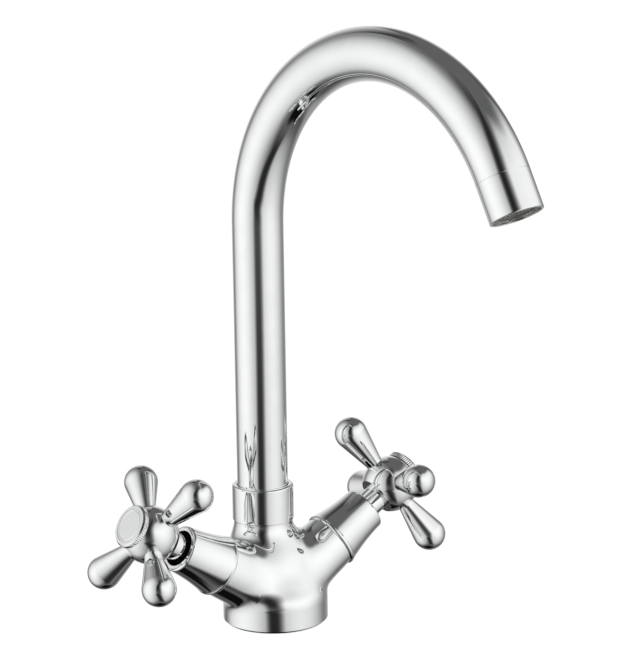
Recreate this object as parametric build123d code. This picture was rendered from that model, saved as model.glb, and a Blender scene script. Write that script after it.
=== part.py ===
from build123d import *
import math
import os

# Two handle kitchen faucet, in millimetres, +Z up. The origin is the centre of the round base on the
# worktop. The spout points to -Y, towards the user, and the left handle is on -X.

# ---- Spout: a bent tube with a straight turned outlet
TUBE_RADIUS = 12.0
TUBE_WALL = 1.0
ARC_RADIUS = 85.0
ARC_CENTRE_HEIGHT = 189.0
ARC_ANGLE = 152.0
OUTLET_LENGTH = 17.6
OUTLET_WALL = 1.3
SPOUT_TURN = 5.8

# ---- Body casting: round base, column set back behind it, two raised valve arms
BASE_RADIUS = 24.8
BASE_WALL_HEIGHT = 8.0
COLUMN_SETBACK = 9.0
NECK_HEIGHT = 47.0
WAIST_RADIUS = 19.0
FLARE_HEIGHT = 16.0
HULL_SECTIONS = 14
HULL_FULLNESS = 1.2
ARM_ROOT_HEIGHT = 12.3
ARM_ELEVATION = 31.2
ARM_LENGTH = 37.3
ARM_WALL = 3.4
ARM_TAPER = 1.6
ARM_BURIED = 5.0
CAST_BLEND = 6.0

# ---- Underside of the base
BASE_EDGE = 1.0
BASE_RIM = 7.8
RECESS_DEPTH = 3.0
BASE_SEAL_WIDTH = 2.8
BASE_SEAL_DEPTH = 1.6
BASE_SEAL_INSET = 2.4
INLET_RIM = 2.0
INLET_THREAD_RADIUS = 4.5
INLET_THREAD_LENGTH = 10.0
PASSAGE_RADIUS = 3.0
MIXING_LEDGE = 2.58
MIXING_DEPTH = 9.0
STUD_RIM = 2.6
STUD_THREAD_RADIUS = 3.4
STUD_THREAD_LENGTH = 12.0

# ---- Spout seat in the column, and the collar nut over it
COLLAR_WALL = 2.5
COLLAR_HEIGHT = 17.2
COLLAR_ROUND = 1.1
COLLAR_FOOT_ROUND = 0.55
NECK_STEP = 0.6
BOSS_WALL = 3.0
BOSS_HEIGHT = 9.0
SPIGOT_STEP = 2.5
SPIGOT_WALL = 1.42
SPIGOT_LENGTH = 19.0
SPIGOT_FLANGE = 1.2
SPIGOT_PLUG_LENGTH = 6.6
SPIGOT_BEVEL = 0.6
BUSH_THICKNESS = 0.9
RETAINER_THICKNESS = 1.8
RETAINER_DEPTH = 1.4
RETAINER_STAND = 1.2
RETAINER_LAND = 1.2
RETAINER_SPLIT = 3.0
ORING_WIDTH = 1.6
ORING_HEIGHTS = (4.0, 10.0)

# ---- Valve, a quarter turn cartridge with ceramic discs
VALVE_THREAD_RADIUS = 10.2
VALVE_THREAD_LENGTH = 10.0
VALVE_FLANGE_STEP = 1.4
VALVE_FLANGE = 2.0
VALVE_ROOF_DROP = 0.5
HEX_STEP = 0.5
HEX_LENGTH = 7.0
VALVE_NECK_STEP = 1.2
VALVE_NECK_LENGTH = 8.0
VALVE_SKIRT_STEP = 0.8
VALVE_SKIRT_WALL = 0.8
VALVE_ORING_WIDTH = 1.4
VALVE_ORING_GROOVE = 2.0
SEAT_SEAL_THICKNESS = 1.5
SEAT_PORT_RADIUS = 4.0
CHAMBER_GAP = 0.5
FIXED_DISC_THICKNESS = 3.0
MOVING_DISC_THICKNESS = 3.4
SLIP_WASHER_THICKNESS = 0.5
DISC_PORT_ANGLE = 76.0
DISC_PORT_INNER = 2.2
DISC_PORT_WALL = 2.0
SPINDLE_RADIUS = 4.5
STOP_RIB_DEPTH = 1.3
SPINDLE_FOOT = 2.3
SPINDLE_DRIVE_WIDTH = 3.0
SPINDLE_DRIVE_DEPTH = 1.5
SPINDLE_ORING_WIDTH = 1.15
SPINDLE_ORING_HEIGHTS = (-4.0, 1.0)
STOP_LUG_ANGLE = 60.0
KEY_WIDTH = 3.0
HANDLE_RANGE = 90.0
STOP_MARGIN = 2.0
WINDOW_WIDTH = 9.0
WINDOW_HEIGHT = 3.6
CLIP_THICKNESS = 0.8
CLIP_WIDTH = 2.1
CLIP_GAP_ANGLE = 50.0
SPLINE_TEETH = 20
SPLINE_STEP = 0.5
SPLINE_DEPTH = 0.45

# ---- Bonnet, the tapered shroud screwed down over the valve
BONNET_LENGTH = 24.9
BONNET_OVERHANG = 0.9
BONNET_LIP = 2.7
BONNET_LIP_ROUND = 0.9
BONNET_SHOULDER_STEP = 0.5
BONNET_WAIST_STEP = 2.3
BONNET_WAIST = 12.0
BONNET_MOUTH_STEP = 3.4
BONNET_MOUTH_WALL = 2.6
BONNET_MOUTH_LAND = 1.5
BONNET_MOUTH_ROUND = 1.2
BONNET_GROOVE = 0.45

# ---- Cross handle
HUB_DISTANCE = 80.0
HUB_RADIUS = 13.5
HUB_FLAT_CUT = 4.0
HUB_NECK_GAP = 2.0
HUB_WEB = 2.9
HUB_RECESS_DEPTH = 10.3
CAP_RADIUS = 10.2
CAP_THICKNESS = 3.0
CAP_SPIGOT_RADIUS = 6.1
CAP_SPIGOT_LENGTH = 4.5
CAP_SPIGOT_SHOULDER = 1.0
CAP_BEVEL = 0.8
CAP_RIM = 2.15
INDEX_DISC_THICKNESS = 0.6
SCREW_RADIUS = 2.0
SCREW_HEAD_RADIUS = 3.9
SCREW_HEAD = 2.4
SCREW_KEY_RADIUS = 1.6
SCREW_LENGTH = 14.0
HANDLE_ARMS = 4
HANDLE_ARM_REACH = 31.8
HANDLE_BULB_RADIUS = 7.95
HANDLE_ARM_ROOT_RADIUS = 4.2
HANDLE_ARM_STUD_RADIUS = 2.4
HANDLE_ARM_STUD_LENGTH = 4.5
LEFT_HANDLE_TURN = 49.5
RIGHT_HANDLE_TURN = -19.4

# ---- Aerator in the outlet
AERATOR_RECESS = 1.3
AERATOR_WASHER = 1.5
AERATOR_SEAT_DEPTH = 12.6
AERATOR_WALL = 1.8
AERATOR_LEDGE = 0.9
AERATOR_RIM_NOTCHES = 6
AERATOR_NOTCH_WIDTH = 2.2
AERATOR_NOTCH_DEPTH = 1.2
OUTLET_PLUG_LENGTH = 4.0
OUTLET_ROUND = 0.5
JET_PLATE_THICKNESS = 2.0
JET_COUNT = 8
JET_CIRCLE_RADIUS = 5.87
JET_RADIUS = 0.6
SCREEN_THICKNESS = 1.0
SCREEN_SET_IN = 0.6
SCREEN_HOLE = 1.7
SCREEN_PITCH = 2.5

# ---- Clearances
RUNNING_FIT = 0.08
THREAD_FIT = 0.1
FACE_GAP = 0.1
SIDE_GAP = 0.2
LIFT_GAP = 0.3
END_GAP = 0.5
SEAL_FIT = 0.03
TUBE_GAP = 0.25

# How far a cutter or a buried end runs past its face
OVERRUN = 1.0

# ---- Heights and radii that follow from the sizes above
TUBE_BORE = TUBE_RADIUS - TUBE_WALL
SPIGOT_RADIUS = TUBE_RADIUS - SPIGOT_STEP
COLLAR_RADIUS = TUBE_RADIUS + COLLAR_WALL
NECK_RADIUS = COLLAR_RADIUS - NECK_STEP
SOCKET_RADIUS = SPIGOT_RADIUS + RUNNING_FIT
SPIGOT_BORE = SOCKET_RADIUS - ORING_WIDTH - 2 * SEAL_FIT - SPIGOT_WALL
MIXING_RADIUS = SOCKET_RADIUS - MIXING_LEDGE
BOSS_RADIUS = SOCKET_RADIUS + BOSS_WALL
BOSS_TOP = NECK_HEIGHT + BOSS_HEIGHT
FLANGE_BOTTOM = BOSS_TOP + BUSH_THICKNESS + FACE_GAP
GROOVE_BOTTOM = FLANGE_BOTTOM + SPIGOT_FLANGE
GROOVE_TOP = GROOVE_BOTTOM + RETAINER_THICKNESS + SIDE_GAP
TUBE_FOOT = GROOVE_TOP + RETAINER_LAND
SPIGOT_BOTTOM = FLANGE_BOTTOM - SPIGOT_LENGTH
SOCKET_FLOOR = SPIGOT_BOTTOM - END_GAP
RETAINER_BORE = TUBE_RADIUS - RETAINER_DEPTH + FACE_GAP
RETAINER_RADIUS = TUBE_RADIUS + RETAINER_STAND
COLUMN = Axis((0, COLUMN_SETBACK, 0), (0, 0, 1))
RISING = (Align.CENTER, Align.CENTER, Align.MIN)
RECESS_RADIUS = BASE_RADIUS - BASE_RIM
INLET_OFFSET = RECESS_RADIUS - INLET_RIM - INLET_THREAD_RADIUS
INLET_THREAD_TOP = RECESS_DEPTH + INLET_THREAD_LENGTH
STUD_OFFSET = RECESS_RADIUS - STUD_RIM - STUD_THREAD_RADIUS

# Radii about a valve's axis
ARM_RADIUS = VALVE_THREAD_RADIUS + ARM_WALL
VALVE_FLANGE_RADIUS = VALVE_THREAD_RADIUS + VALVE_FLANGE_STEP
VALVE_NECK_RADIUS = VALVE_THREAD_RADIUS - VALVE_NECK_STEP
VALVE_SKIRT_RADIUS = VALVE_THREAD_RADIUS - VALVE_SKIRT_STEP
VALVE_DISC_BORE = VALVE_SKIRT_RADIUS - VALVE_SKIRT_WALL
HEX_ACROSS_FLATS = 2 * (VALVE_NECK_RADIUS + HEX_STEP)
DISC_RADIUS = VALVE_DISC_BORE - FACE_GAP
DISC_PORT_OUTER = VALVE_DISC_BORE - DISC_PORT_WALL
RIB_BORE = VALVE_DISC_BORE - STOP_RIB_DEPTH
SPINDLE_FOOT_RADIUS = RIB_BORE - SIDE_GAP
SHAFT_BORE = SPINDLE_RADIUS + RUNNING_FIT
SPLINE_RADIUS = SPINDLE_RADIUS - SPLINE_STEP
BONNET_LIP_RADIUS = ARM_RADIUS + BONNET_OVERHANG
BONNET_SHOULDER_RADIUS = BONNET_LIP_RADIUS - BONNET_SHOULDER_STEP
BONNET_WAIST_RADIUS = BONNET_LIP_RADIUS - BONNET_WAIST_STEP
BONNET_MOUTH_RADIUS = BONNET_LIP_RADIUS - BONNET_MOUTH_STEP
BONNET_MOUTH_BORE = BONNET_MOUTH_RADIUS - BONNET_MOUTH_WALL
HUB_NECK_RADIUS = BONNET_MOUTH_BORE - HUB_NECK_GAP
HUB_HALF_LENGTH = HUB_RADIUS - HUB_FLAT_CUT
INDEX_DISC_RADIUS = CAP_RADIUS - CAP_RIM - FACE_GAP

# Heights along a valve's axis, from the end face of its arm outwards
THREAD_BOTTOM = -VALVE_THREAD_LENGTH
DISC_ROOF = THREAD_BOTTOM - VALVE_ROOF_DROP
SLIP_WASHER_BOTTOM = DISC_ROOF - SLIP_WASHER_THICKNESS - FACE_GAP
FOOT_TOP = SLIP_WASHER_BOTTOM - FACE_GAP
MOVING_DISC_TOP = FOOT_TOP - SPINDLE_FOOT
FIXED_DISC_TOP = MOVING_DISC_TOP - MOVING_DISC_THICKNESS
SEAT_SEAL_TOP = FIXED_DISC_TOP - FIXED_DISC_THICKNESS
SEAT = SEAT_SEAL_TOP - SEAT_SEAL_THICKNESS
SKIRT_BOTTOM = SEAT + SEAT_SEAL_THICKNESS / 2
HEX_TOP = VALVE_FLANGE + HEX_LENGTH
VALVE_TOP = HEX_TOP + VALVE_NECK_LENGTH
CLIP_TOP = VALVE_TOP + FACE_GAP + CLIP_THICKNESS
HUB_CENTRE = HUB_DISTANCE - ARM_LENGTH
HUB_BACK = HUB_CENTRE - HUB_HALF_LENGTH
HUB_FRONT = HUB_CENTRE + HUB_HALF_LENGTH
HUB_NECK_BOTTOM = CLIP_TOP + LIFT_GAP
RECESS_FLOOR = HUB_FRONT - HUB_RECESS_DEPTH
SPINDLE_TOP = RECESS_FLOOR - HUB_WEB - LIFT_GAP
CAP_BACK = HUB_FRONT + SIDE_GAP
CAP_FRONT = CAP_BACK + CAP_THICKNESS
OUTLET_BORE = TUBE_RADIUS - OUTLET_WALL
AERATOR_SEAT = OUTLET_LENGTH - AERATOR_SEAT_DEPTH
AERATOR_TOP = AERATOR_SEAT + AERATOR_WASHER
AERATOR_END = OUTLET_LENGTH - AERATOR_RECESS
AERATOR_RADIUS = OUTLET_BORE - THREAD_FIT
AERATOR_BORE = AERATOR_RADIUS - AERATOR_WALL


# ---- Shapes used again and again
def turned(*outline):
    """Solid of revolution about Z. Each corner is (radius, height) or (radius, height, rounding)."""
    corners = [(corner[0], 0, corner[1]) for corner in outline]
    roundings = [corner[2] if len(corner) > 2 else 0 for corner in outline]
    return revolve(make_face(FilletPolyline(*corners, radius=roundings, close=True)), Axis.Z)


def ring(inner, outer, bottom, top):
    """Flat ring, or a disc where the inner radius is 0."""
    return turned((inner, bottom), (outer, bottom), (outer, top), (inner, top))


def sector(inner, outer, bottom, top, start, sweep):
    """The part of a flat ring between two angles, in degrees."""
    edge = Polyline((inner, 0, bottom), (outer, 0, bottom), (outer, 0, top), (inner, 0, top), close=True)
    return Rot(0, 0, start) * revolve(make_face(edge), Axis.Z, sweep)


def drilled(radius, start, end):
    """Round bar from one point to another, for a drilled passage."""
    along = Vector(*end) - Vector(*start)
    return Plane(origin=start, z_dir=along) * ring(0, radius, 0, along.length)


def oring(bore, width, height):
    """Rubber O-ring at a height inside a bore, its section squeezed to six flats."""
    middle = bore - SEAL_FIT - width / 2
    section = Plane.XZ * Pos(middle, height) * RegularPolygon(width / 2, 6)
    return revolve(section, Axis.Z)


def oring_groove(shaft, bore, width, height):
    """Corners of the groove that holds such a ring, on the outline of the shaft."""
    land = bore - width - 2 * SEAL_FIT
    low = height - width / 2 - SEAL_FIT
    high = height + width / 2 + SEAL_FIT
    return [(shaft, low), (land, low), (land, high), (shaft, high)]


def toothed_bar(tip, root, teeth, bottom, top):
    """Bar with straight teeth: its outline goes to and fro between the tip and the root circle."""
    step = math.pi / teeth
    radii = (tip, root)
    outline = []
    for i in range(2 * teeth):
        radius = radii[i % 2]
        outline.append((radius * math.cos(i * step), radius * math.sin(i * step)))
    return Pos(0, 0, bottom) * extrude(make_face(Polyline(*outline, close=True)), top - bottom)


def arm_end(side):
    """Plane on the end face of an arm of the body: Z runs out along the valve's axis."""
    tilt = math.radians(ARM_ELEVATION)
    out = Vector(side * math.cos(tilt), 0, math.sin(tilt))
    return Plane(origin=Vector(0, 0, ARM_ROOT_HEIGHT) + out * ARM_LENGTH, x_dir=(0, side, 0), z_dir=out)


def outlet():
    """Plane at the seam of the outlet sleeve: Z runs with the water."""
    turn = math.radians(ARC_ANGLE)
    seam = (
        0,
        COLUMN_SETBACK - ARC_RADIUS * (1 - math.cos(turn)),
        ARC_CENTRE_HEIGHT + ARC_RADIUS * math.sin(turn),
    )
    return Plane(origin=seam, x_dir=(1, 0, 0), z_dir=(0, -math.sin(turn), math.cos(turn)))


# ---- Body casting
def s_curve(share):
    """Soft passage from 0 to 1."""
    return (1 - math.cos(math.pi * share)) / 2


def core():
    """Flared base, waist and neck, lofted up a curve that leans back to the column."""
    rise = NECK_HEIGHT - BASE_WALL_HEIGHT
    sections = [Circle(BASE_RADIUS), Pos(0, 0, BASE_WALL_HEIGHT / 2) * Circle(BASE_RADIUS)]
    for i in range(HULL_SECTIONS + 1):
        climb = rise * i / HULL_SECTIONS
        drawing_in = s_curve(min(climb / FLARE_HEIGHT, 1))
        above_flare = max(climb - FLARE_HEIGHT, 0) / (rise - FLARE_HEIGHT)
        narrowing = s_curve(above_flare**HULL_FULLNESS)
        radius = BASE_RADIUS + (WAIST_RADIUS - BASE_RADIUS) * drawing_in
        radius = radius + (NECK_RADIUS - WAIST_RADIUS) * narrowing
        place = Pos(0, COLUMN_SETBACK * s_curve(climb / rise), BASE_WALL_HEIGHT + climb)
        sections.append(place * Circle(radius))
    return loft(sections)


def casting():
    """Core and the two raised arms, blended where they meet."""
    centre = core()
    arms = []
    for side in (-1, 1):
        arm = turned(
            (0, ARM_BURIED - ARM_LENGTH),
            (ARM_RADIUS + ARM_TAPER, ARM_BURIED - ARM_LENGTH),
            (ARM_RADIUS, 0),
            (0, 0),
        )
        arms.append(arm_end(side) * arm)
    joined = centre + arms
    meeting = new_edges(centre, *arms, combined=joined)
    return joined.fillet(CAST_BLEND, meeting)


def underside():
    """What is cut from below: edge, recess, seal groove, the two inlets and the fixing stud's hole."""
    seal_outer = BASE_RADIUS - BASE_SEAL_INSET
    cuts = [
        ring(0, RECESS_RADIUS, 0, RECESS_DEPTH),
        ring(seal_outer - BASE_SEAL_WIDTH, seal_outer, 0, BASE_SEAL_DEPTH),
        Pos(0, -STUD_OFFSET, 0) * ring(0, STUD_THREAD_RADIUS, 0, RECESS_DEPTH + STUD_THREAD_LENGTH),
    ]
    for side in (-1, 1):
        x = side * INLET_OFFSET
        meeting = ARM_ROOT_HEIGHT + INLET_OFFSET * math.tan(math.radians(ARM_ELEVATION))
        cuts.append(drilled(INLET_THREAD_RADIUS, (x, 0, 0), (x, 0, INLET_THREAD_TOP)))
        cuts.append(drilled(PASSAGE_RADIUS, (x, 0, INLET_THREAD_TOP), (x, 0, meeting)))
    return cuts


def waterways():
    """Valve bores, their seats and inlet ports, the mixing chamber and the passages into it."""
    mixing_floor = SOCKET_FLOOR - MIXING_DEPTH
    mixing_middle = (0, COLUMN_SETBACK, (mixing_floor + SOCKET_FLOOR) / 2)
    column = Pos(0, COLUMN_SETBACK, 0)
    cuts = [column * ring(0, MIXING_RADIUS, mixing_floor, SOCKET_FLOOR)]
    cuts.append(column * ring(0, SOCKET_RADIUS, SOCKET_FLOOR, BOSS_TOP))
    for side in (-1, 1):
        plane = arm_end(side)
        chamber = VALVE_SKIRT_RADIUS + CHAMBER_GAP
        thread = VALVE_THREAD_RADIUS + THREAD_FIT
        port_bottom = INLET_OFFSET / math.cos(math.radians(ARM_ELEVATION)) - ARM_LENGTH
        cuts.append(plane * ring(0, thread, THREAD_BOTTOM, 0))
        cuts.append(plane * ring(0, chamber, SEAT, THREAD_BOTTOM))
        cuts.append(plane * ring(0, SEAT_PORT_RADIUS, port_bottom, SEAT))
        way_out = plane.from_local_coords((0, 0, MOVING_DISC_TOP))
        cuts.append(drilled(PASSAGE_RADIUS, way_out, mixing_middle))
    return cuts


def body():
    """The whole casting, machined."""
    boss = Pos(0, COLUMN_SETBACK, 0) * ring(0, BOSS_RADIUS, NECK_HEIGHT, BOSS_TOP)
    machined = casting() + boss
    foot = machined.edges().group_by(Axis.Z)[0]
    machined = chamfer(foot, BASE_EDGE)
    return machined - underside() - waterways()


def base_seal():
    """Flat rubber ring in the groove of the underside."""
    outer = BASE_RADIUS - BASE_SEAL_INSET
    return ring(outer - BASE_SEAL_WIDTH, outer, 0, BASE_SEAL_DEPTH)


# ---- Spout and its seat, standing straight ahead; every piece is turned by SPOUT_TURN at the end
def spout_tube():
    """Straight riser and one bend, of one wall."""
    section = Circle(TUBE_RADIUS) - Circle(TUBE_BORE)
    riser = Pos(0, COLUMN_SETBACK, TUBE_FOOT) * extrude(section, ARC_CENTRE_HEIGHT - TUBE_FOOT)
    centre = Axis((0, COLUMN_SETBACK - ARC_RADIUS, ARC_CENTRE_HEIGHT), (1, 0, 0))
    bend = revolve(Pos(0, COLUMN_SETBACK, ARC_CENTRE_HEIGHT) * section, centre, ARC_ANGLE)
    return riser + bend


def spout_spigot():
    """Turned end of the spout: plug in the tube, groove for the retainer, spigot with O-ring grooves."""
    outline = [(SPIGOT_BORE, SPIGOT_BOTTOM), (SPIGOT_RADIUS - SPIGOT_BEVEL, SPIGOT_BOTTOM)]
    outline.append((SPIGOT_RADIUS, SPIGOT_BOTTOM + SPIGOT_BEVEL))
    for height in ORING_HEIGHTS:
        outline += oring_groove(SPIGOT_RADIUS, SOCKET_RADIUS, ORING_WIDTH, SPIGOT_BOTTOM + height)
    outline += [
        (SPIGOT_RADIUS, FLANGE_BOTTOM),
        (TUBE_RADIUS, FLANGE_BOTTOM),
        (TUBE_RADIUS, GROOVE_BOTTOM),
        (TUBE_RADIUS - RETAINER_DEPTH, GROOVE_BOTTOM),
        (TUBE_RADIUS - RETAINER_DEPTH, GROOVE_TOP),
        (TUBE_RADIUS, GROOVE_TOP),
        (TUBE_RADIUS, TUBE_FOOT),
        (TUBE_BORE, TUBE_FOOT),
        (TUBE_BORE, TUBE_FOOT + SPIGOT_PLUG_LENGTH - SPIGOT_BEVEL),
        (TUBE_BORE - SPIGOT_BEVEL, TUBE_FOOT + SPIGOT_PLUG_LENGTH),
        (SPIGOT_BORE, TUBE_FOOT + SPIGOT_PLUG_LENGTH),
    ]
    return Pos(0, COLUMN_SETBACK, 0) * turned(*outline)


def spigot_oring(height):
    """One of the two O-rings that seal the spigot in the column."""
    return Pos(0, COLUMN_SETBACK, SPIGOT_BOTTOM) * oring(SOCKET_RADIUS, ORING_WIDTH, height)


def spout_bush():
    """Nylon washer on the column's end, which the spout's flange turns on."""
    bore = SOCKET_RADIUS + SIDE_GAP
    washer = ring(bore, BOSS_RADIUS - SIDE_GAP, BOSS_TOP, BOSS_TOP + BUSH_THICKNESS)
    return Pos(0, COLUMN_SETBACK, 0) * washer


def spout_retainer():
    """Split ring in the spigot's groove, wider than the collar's mouth, which holds the spout down."""
    bottom = GROOVE_BOTTOM + FACE_GAP
    split = math.degrees(RETAINER_SPLIT / RETAINER_RADIUS)
    top = bottom + RETAINER_THICKNESS
    split_ring = sector(RETAINER_BORE, RETAINER_RADIUS, bottom, top, 90, 360 - split)
    return Pos(0, COLUMN_SETBACK, 0) * split_ring


def collar_nut():
    """Round nut screwed on the column's boss: it closes over the retainer and lets the tube turn."""
    cavity = RETAINER_RADIUS + TUBE_GAP
    thread = BOSS_RADIUS + THREAD_FIT
    roof = GROOVE_TOP + FACE_GAP
    top = NECK_HEIGHT + COLLAR_HEIGHT
    mouth = TUBE_RADIUS + TUBE_GAP
    nut = turned(
        (thread, NECK_HEIGHT),
        (COLLAR_RADIUS, NECK_HEIGHT, COLLAR_FOOT_ROUND),
        (COLLAR_RADIUS, top, COLLAR_ROUND),
        (mouth, top),
        (mouth, roof),
        (cavity, roof),
        (cavity, BOSS_TOP),
        (thread, BOSS_TOP),
    )
    return Pos(0, COLUMN_SETBACK, 0) * nut


def outlet_sleeve():
    """Turned end of the spout, plugged into the tube, bored for the aerator.

    The plug is straight and the tube isn't, so the plug is thinner by the tube's bend over its length.
    """
    bend = OUTLET_PLUG_LENGTH**2 / (2 * (ARC_RADIUS - TUBE_RADIUS))
    plug = TUBE_BORE - bend - SEAL_FIT
    sleeve = turned(
        (AERATOR_BORE, -OUTLET_PLUG_LENGTH),
        (plug, -OUTLET_PLUG_LENGTH),
        (plug, 0),
        (TUBE_RADIUS, 0),
        (TUBE_RADIUS, OUTLET_LENGTH, OUTLET_ROUND),
        (OUTLET_BORE, OUTLET_LENGTH),
        (OUTLET_BORE, AERATOR_SEAT),
        (AERATOR_BORE, AERATOR_SEAT),
    )
    return outlet() * sleeve


def aerator_washer():
    """Rubber washer between the sleeve's shoulder and the aerator."""
    return outlet() * ring(AERATOR_BORE, AERATOR_RADIUS, AERATOR_SEAT, AERATOR_TOP)


def aerator_housing():
    """Plastic ring with key notches in its rim, and a ledge that carries the jet plate."""
    housing = turned(
        (AERATOR_BORE - AERATOR_LEDGE, AERATOR_TOP),
        (AERATOR_RADIUS, AERATOR_TOP),
        (AERATOR_RADIUS, AERATOR_END),
        (AERATOR_BORE, AERATOR_END),
        (AERATOR_BORE, AERATOR_TOP + END_GAP),
        (AERATOR_BORE - AERATOR_LEDGE, AERATOR_TOP + END_GAP),
    )
    notch = Pos(AERATOR_RADIUS, 0, AERATOR_END) * Box(
        AERATOR_WALL, AERATOR_NOTCH_WIDTH, 2 * AERATOR_NOTCH_DEPTH
    )
    return outlet() * (housing - PolarLocations(0, AERATOR_RIM_NOTCHES) * notch)


def jet_plate():
    """Disc with a ring of small holes, which splits the water into jets."""
    bottom = AERATOR_TOP + END_GAP
    plate = ring(0, AERATOR_BORE - THREAD_FIT, bottom, bottom + JET_PLATE_THICKNESS)
    jet = ring(0, JET_RADIUS, bottom, bottom + JET_PLATE_THICKNESS)
    return outlet() * (plate - PolarLocations(JET_CIRCLE_RADIUS, JET_COUNT) * jet)


def aerator_screen():
    """Square-meshed screen near the mouth, in a rim of its own."""
    top = AERATOR_END - SCREEN_SET_IN
    screen = ring(0, AERATOR_BORE - THREAD_FIT, top - SCREEN_THICKNESS, top)
    reach = AERATOR_BORE - THREAD_FIT - SCREEN_PITCH / 2
    count = 2 * int(reach / SCREEN_PITCH) + 1
    mesh = Box(SCREEN_HOLE, SCREEN_HOLE, 4 * SCREEN_THICKNESS)
    for place in GridLocations(SCREEN_PITCH, SCREEN_PITCH, count, count):
        if place.position.length < reach:
            screen -= place * Pos(0, 0, top) * mesh
    return outlet() * screen


# ---- Bonnet and valve, along the valve's axis: height 0 is the end face of the arm
def bonnet():
    """Tapered shroud with a rolled lip, screwed on the valve's neck."""
    lip_bore = VALVE_FLANGE_RADIUS + SIDE_GAP
    hex_room = HEX_ACROSS_FLATS / math.sqrt(3) + 2 * SIDE_GAP
    thread = VALVE_NECK_RADIUS + THREAD_FIT
    groove = BONNET_SHOULDER_RADIUS - BONNET_GROOVE
    shoulder = (BONNET_SHOULDER_RADIUS, 0, BONNET_LIP + BONNET_GROOVE)
    mouth = (BONNET_MOUTH_RADIUS, 0, BONNET_LENGTH - BONNET_MOUTH_LAND)
    lip = FilletPolyline(
        (lip_bore, 0, 0),
        (BONNET_LIP_RADIUS, 0, 0),
        (BONNET_LIP_RADIUS, 0, BONNET_LIP),
        (groove, 0, BONNET_LIP),
        shoulder,
        radius=[BONNET_LIP_ROUND, BONNET_LIP_ROUND, 0],
    )
    flare = ThreePointArc(shoulder, (BONNET_WAIST_RADIUS, 0, BONNET_WAIST), mouth)
    inside = FilletPolyline(
        mouth,
        (BONNET_MOUTH_RADIUS, 0, BONNET_LENGTH),
        (BONNET_MOUTH_BORE, 0, BONNET_LENGTH),
        (BONNET_MOUTH_BORE, 0, CLIP_TOP),
        (thread, 0, CLIP_TOP),
        (thread, 0, HEX_TOP + END_GAP),
        (hex_room, 0, HEX_TOP + END_GAP),
        (hex_room, 0, VALVE_FLANGE + END_GAP),
        (lip_bore, 0, VALVE_FLANGE + SIDE_GAP),
        (lip_bore, 0, 0),
        radius=[BONNET_MOUTH_ROUND] + [0] * 7,
    )
    return revolve(make_face([*lip.edges(), *flare.edges(), *inside.edges()]), Axis.Z)


def valve_body(opening):
    """Brass cartridge body: skirt round the discs, thread, hexagon, and neck for the bonnet.

    A rib inside the skirt stops the spindle's lug at both ends of its turn.
    """
    groove = VALVE_THREAD_RADIUS - VALVE_ORING_WIDTH
    blank = turned(
        (VALVE_DISC_BORE, SKIRT_BOTTOM),
        (VALVE_SKIRT_RADIUS, SKIRT_BOTTOM),
        (VALVE_SKIRT_RADIUS, THREAD_BOTTOM),
        (VALVE_THREAD_RADIUS, THREAD_BOTTOM),
        (VALVE_THREAD_RADIUS, -VALVE_ORING_GROOVE),
        (groove, -VALVE_ORING_GROOVE),
        (groove, 0),
        (VALVE_FLANGE_RADIUS, 0),
        (VALVE_FLANGE_RADIUS, VALVE_FLANGE),
        (VALVE_NECK_RADIUS, VALVE_FLANGE),
        (VALVE_NECK_RADIUS, VALVE_TOP),
        (SHAFT_BORE, VALVE_TOP),
        (SHAFT_BORE, DISC_ROOF),
        (VALVE_DISC_BORE, DISC_ROOF),
    )
    hexagon = extrude(RegularPolygon(HEX_ACROSS_FLATS / 2, 6, major_radius=False), HEX_LENGTH)
    blank += Pos(0, 0, VALVE_FLANGE) * hexagon - ring(0, SHAFT_BORE, VALVE_FLANGE, HEX_TOP)
    free = HANDLE_RANGE + STOP_LUG_ANGLE + STOP_MARGIN
    past_lug = (STOP_LUG_ANGLE + STOP_MARGIN) / 2
    start = free - past_lug if opening > 0 else past_lug
    rib_bottom = MOVING_DISC_TOP + FACE_GAP
    blank += sector(RIB_BORE, VALVE_DISC_BORE, rib_bottom, DISC_ROOF, start, 360 - free)
    wall = 2 * VALVE_THREAD_RADIUS
    window = Pos(0, 0, FIXED_DISC_TOP) * Box(wall, WINDOW_WIDTH, WINDOW_HEIGHT, align=RISING)
    key_way = Pos(0, 0, SKIRT_BOTTOM) * Box(
        KEY_WIDTH + SIDE_GAP, wall, FIXED_DISC_TOP - SKIRT_BOTTOM, align=RISING
    )
    return blank - window - key_way


def valve_oring():
    """O-ring under the hexagon's flange."""
    return oring(VALVE_THREAD_RADIUS + THREAD_FIT, VALVE_ORING_WIDTH, -VALVE_ORING_GROOVE / 2)


def seat_seal():
    """Rubber seal between the valve's seat and the fixed disc."""
    return ring(SEAT_PORT_RADIUS, VALVE_DISC_BORE - SIDE_GAP, SEAT, SEAT_SEAL_TOP)


def fixed_disc():
    """Ceramic disc with two ports, keyed to the cartridge body by two lugs."""
    disc = ring(0, DISC_RADIUS, SEAT_SEAL_TOP, FIXED_DISC_TOP)
    keys = Pos(0, 0, SEAT_SEAL_TOP) * Box(
        KEY_WIDTH, 2 * (VALVE_SKIRT_RADIUS - FACE_GAP), FIXED_DISC_THICKNESS, align=RISING
    )
    disc += keys
    for middle in (0, 180):
        start = middle - DISC_PORT_ANGLE / 2
        disc -= sector(
            DISC_PORT_INNER, DISC_PORT_OUTER, SEAT_SEAL_TOP, FIXED_DISC_TOP, start, DISC_PORT_ANGLE
        )
    return disc


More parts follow.
